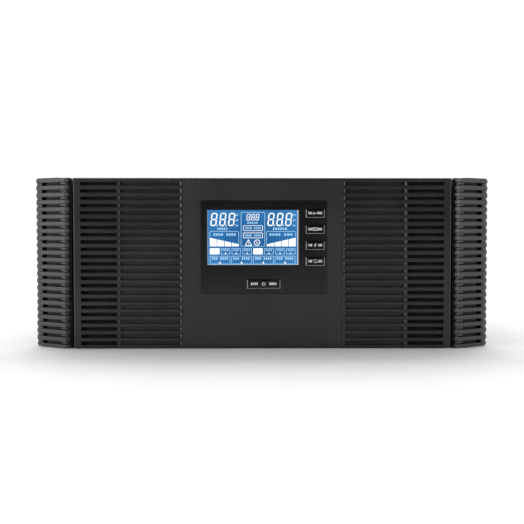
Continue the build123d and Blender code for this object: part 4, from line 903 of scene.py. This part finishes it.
def softbox(name, box, radiance):
    """An area light aimed at the object; its power follows from the brightness of its face."""
    place, size = box
    light = bpy.data.lights.new(name, "AREA")
    light.shape = "RECTANGLE"
    light.size, light.size_y = size
    light.energy = radiance * math.pi * size[0] * size[1]
    lamp = bpy.data.objects.new(name, light)
    lamp.location = place
    lamp.visible_camera = False
    lamp.rotation_euler = (Vector(LIGHT_AIM) - Vector(place)).to_track_quat("-Z", "Y").to_euler()
    bpy.context.scene.collection.objects.link(lamp)


def studio_world(settings):
    """Soft room light: a dim side behind the camera, a bright white side behind the object."""
    world = bpy.data.worlds.new("studio_room")
    world.use_nodes = True
    tree = world.node_tree
    tree.nodes.clear()
    direction = add_node(tree, "ShaderNodeTexCoord").outputs["Generated"]
    split = add_node(tree, "ShaderNodeSeparateXYZ", links={0: direction})
    strength = spread(tree, split.outputs[1], settings.room_dim, settings.room_bright, *ROOM_CHANGE)
    back = add_node(tree, "ShaderNodeBackground", {"Color": (1, 1, 1, 1)}, {"Strength": strength})
    add_node(tree, "ShaderNodeOutputWorld", links={"Surface": back.outputs[0]})
    bpy.context.scene.world = world


def place_camera(settings):
    """The camera looks at the middle of the bezel's front, a little from above and from the left."""
    low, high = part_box("front_bezel")
    across, rise = settings.aim_offset
    target = Vector(((low[0] + high[0]) / 2 + across, low[1], (low[2] + high[2]) / 2 + rise))
    up, turn = settings.camera_height, settings.camera_turn
    heading = Vector((math.sin(turn) * math.cos(up), math.cos(turn) * math.cos(up), -math.sin(up)))
    data = bpy.data.cameras.new("camera")
    data.sensor_width = SENSOR_WIDTH
    data.lens = data.sensor_width * settings.focal_pixels
    data.clip_start = NEAR_CLIP
    camera = bpy.data.objects.new("camera", data)
    camera.location = target - heading * settings.camera_distance
    camera.rotation_euler = heading.to_track_quat("-Z", "Y").to_euler()
    bpy.context.scene.collection.objects.link(camera)
    bpy.context.scene.camera = camera


# ------------------------------------------------------------------ operators
class UPS_OT_stage(bpy.types.Operator):
    """Set up the floor, the lights and the camera"""

    bl_idname = "ups.stage"
    bl_label = "Studio"

    def execute(self, context):
        settings = context.scene.ups_stage
        context.scene.view_settings.view_transform = "Standard"
        pale_floor(settings)
        studio_world(settings)
        softbox("left_box", LEFT_BOX, settings.key_radiance)
        softbox("right_box", RIGHT_BOX, settings.fill_radiance)
        softbox("top_box", TOP_BOX, settings.top_radiance)
        place_camera(settings)
        return {"FINISHED"}


class UPS_OT_finishes(bpy.types.Operator):
    """Give every CAD node its finish"""

    bl_idname = "ups.finishes"
    bl_label = "Finishes"

    def execute(self, context):
        finishes = make_finishes(context.scene.ups_finish)
        slots = {part["node"]: part["material_slot"] for part in frame["record"]["subparts"]}
        for node, piece in frame["nodes"].items():
            piece.data.materials.clear()
            piece.data.materials.append(finishes[slots[node]])
        return {"FINISHED"}


class UPS_OT_screen(bpy.types.Operator):
    """Draw the figures, frames and gauges of the screen"""

    bl_idname = "ups.screen"
    bl_label = "Screen marks"

    def execute(self, context):
        colours = context.scene.ups_finish
        white, pale = screen_marks(context.scene.ups_display)
        lit_white = lit_mark("lit_white", colours.mark_white, 1.3)
        # glow for the painted highlight along the window's edges
        painted_edge_highlight = lit_mark("painted_edge_highlight", colours.mark_white, 0.8)
        lit_pale = lit_mark("lit_pale", colours.mark_pale, 1.05)
        white.build("screen_figures", lit_white, "chassis", "lcd_blue")
        screen_edge_highlight().build("screen_edge_highlight", painted_edge_highlight, "chassis", "lcd_blue")
        pale.build("screen_outlines", lit_pale, "chassis", "lcd_blue")
        return {"FINISHED"}


class UPS_OT_key_marks(bpy.types.Operator):
    """Print a plain mark on each key, and paint a highlight round its edges"""

    bl_idname = "ups.key_marks"
    bl_label = "Key marks"

    def execute(self, context):
        # screen-printed ink: off-white and satin; the same finish gives the painted highlights round the keys
        ink_and_highlight = textured("white_ink_and_highlight", linear("#d8dadc"), 0.5, 0.4, 0.004, 0.05)
        height = context.scene.ups_display.key_mark_height / MM
        for node, (kind, body) in KEYS.items():
            key_mark(node, kind, height).build(f"{kind}_key_mark", ink_and_highlight, body, "key_black")
            # painted highlight round the key's left, right and lower edges
            key_edge_highlight(node).build(f"{kind}_key_edge_highlight", ink_and_highlight, "chassis", "display_black")
        return {"FINISHED"}


class UPS_OT_cover_groove_shade(bpy.types.Operator):
    """Paint shade into the end covers' grooves with dark strips"""

    bl_idname = "ups.cover_lining"
    bl_label = "Cover groove_shade"

    def execute(self, context):
        # painted shade: near-black, matt and faintly pitted, standing for the shade in the grooves
        groove_shade_finish = textured("painted_groove_shade", linear("#040404"), 0.95, 1.8, 0.1, 0.4)
        for name, side in (("left_cover", -1), ("right_cover", 1)):
            place_piece(f"{name}_lining", cover_lining(side), groove_shade_finish, name)
        return {"FINISHED"}


class UPS_PT_panel(bpy.types.Panel):
    """The UPS's settings and steps"""

    bl_label = "Rackmount UPS"
    bl_idname = "UPS_PT_panel"
    bl_space_type = "VIEW_3D"
    bl_region_type = "UI"
    bl_category = "UPS"

    def draw(self, context):
        for operator in OPERATORS:
            self.layout.operator(operator.bl_idname)
        for name, group in SETTINGS.items():
            box = self.layout.box()
            for key in group.__annotations__:
                box.prop(getattr(context.scene, name), key)


OPERATORS = (UPS_OT_stage, UPS_OT_finishes, UPS_OT_screen, UPS_OT_key_marks, UPS_OT_cover_groove_shade)


def register():
    """Registers the settings, the operators and the panel."""
    for cls in (*SETTINGS.values(), *OPERATORS, UPS_PT_panel):
        bpy.utils.register_class(cls)
    for name, group in SETTINGS.items():
        setattr(bpy.types.Scene, name, bpy.props.PointerProperty(type=group))


def unregister():
    """Takes them out again."""
    for name in SETTINGS:
        delattr(bpy.types.Scene, name)
    for cls in reversed((*SETTINGS.values(), *OPERATORS, UPS_PT_panel)):
        bpy.utils.unregister_class(cls)


def main():
    """Builds everything in order."""
    register()
    bpy.ops.ups.stage()
    bpy.ops.ups.finishes()
    bpy.ops.ups.screen()
    bpy.ops.ups.key_marks()
    bpy.ops.ups.cover_lining()


if __name__ == "__main__":
    main()
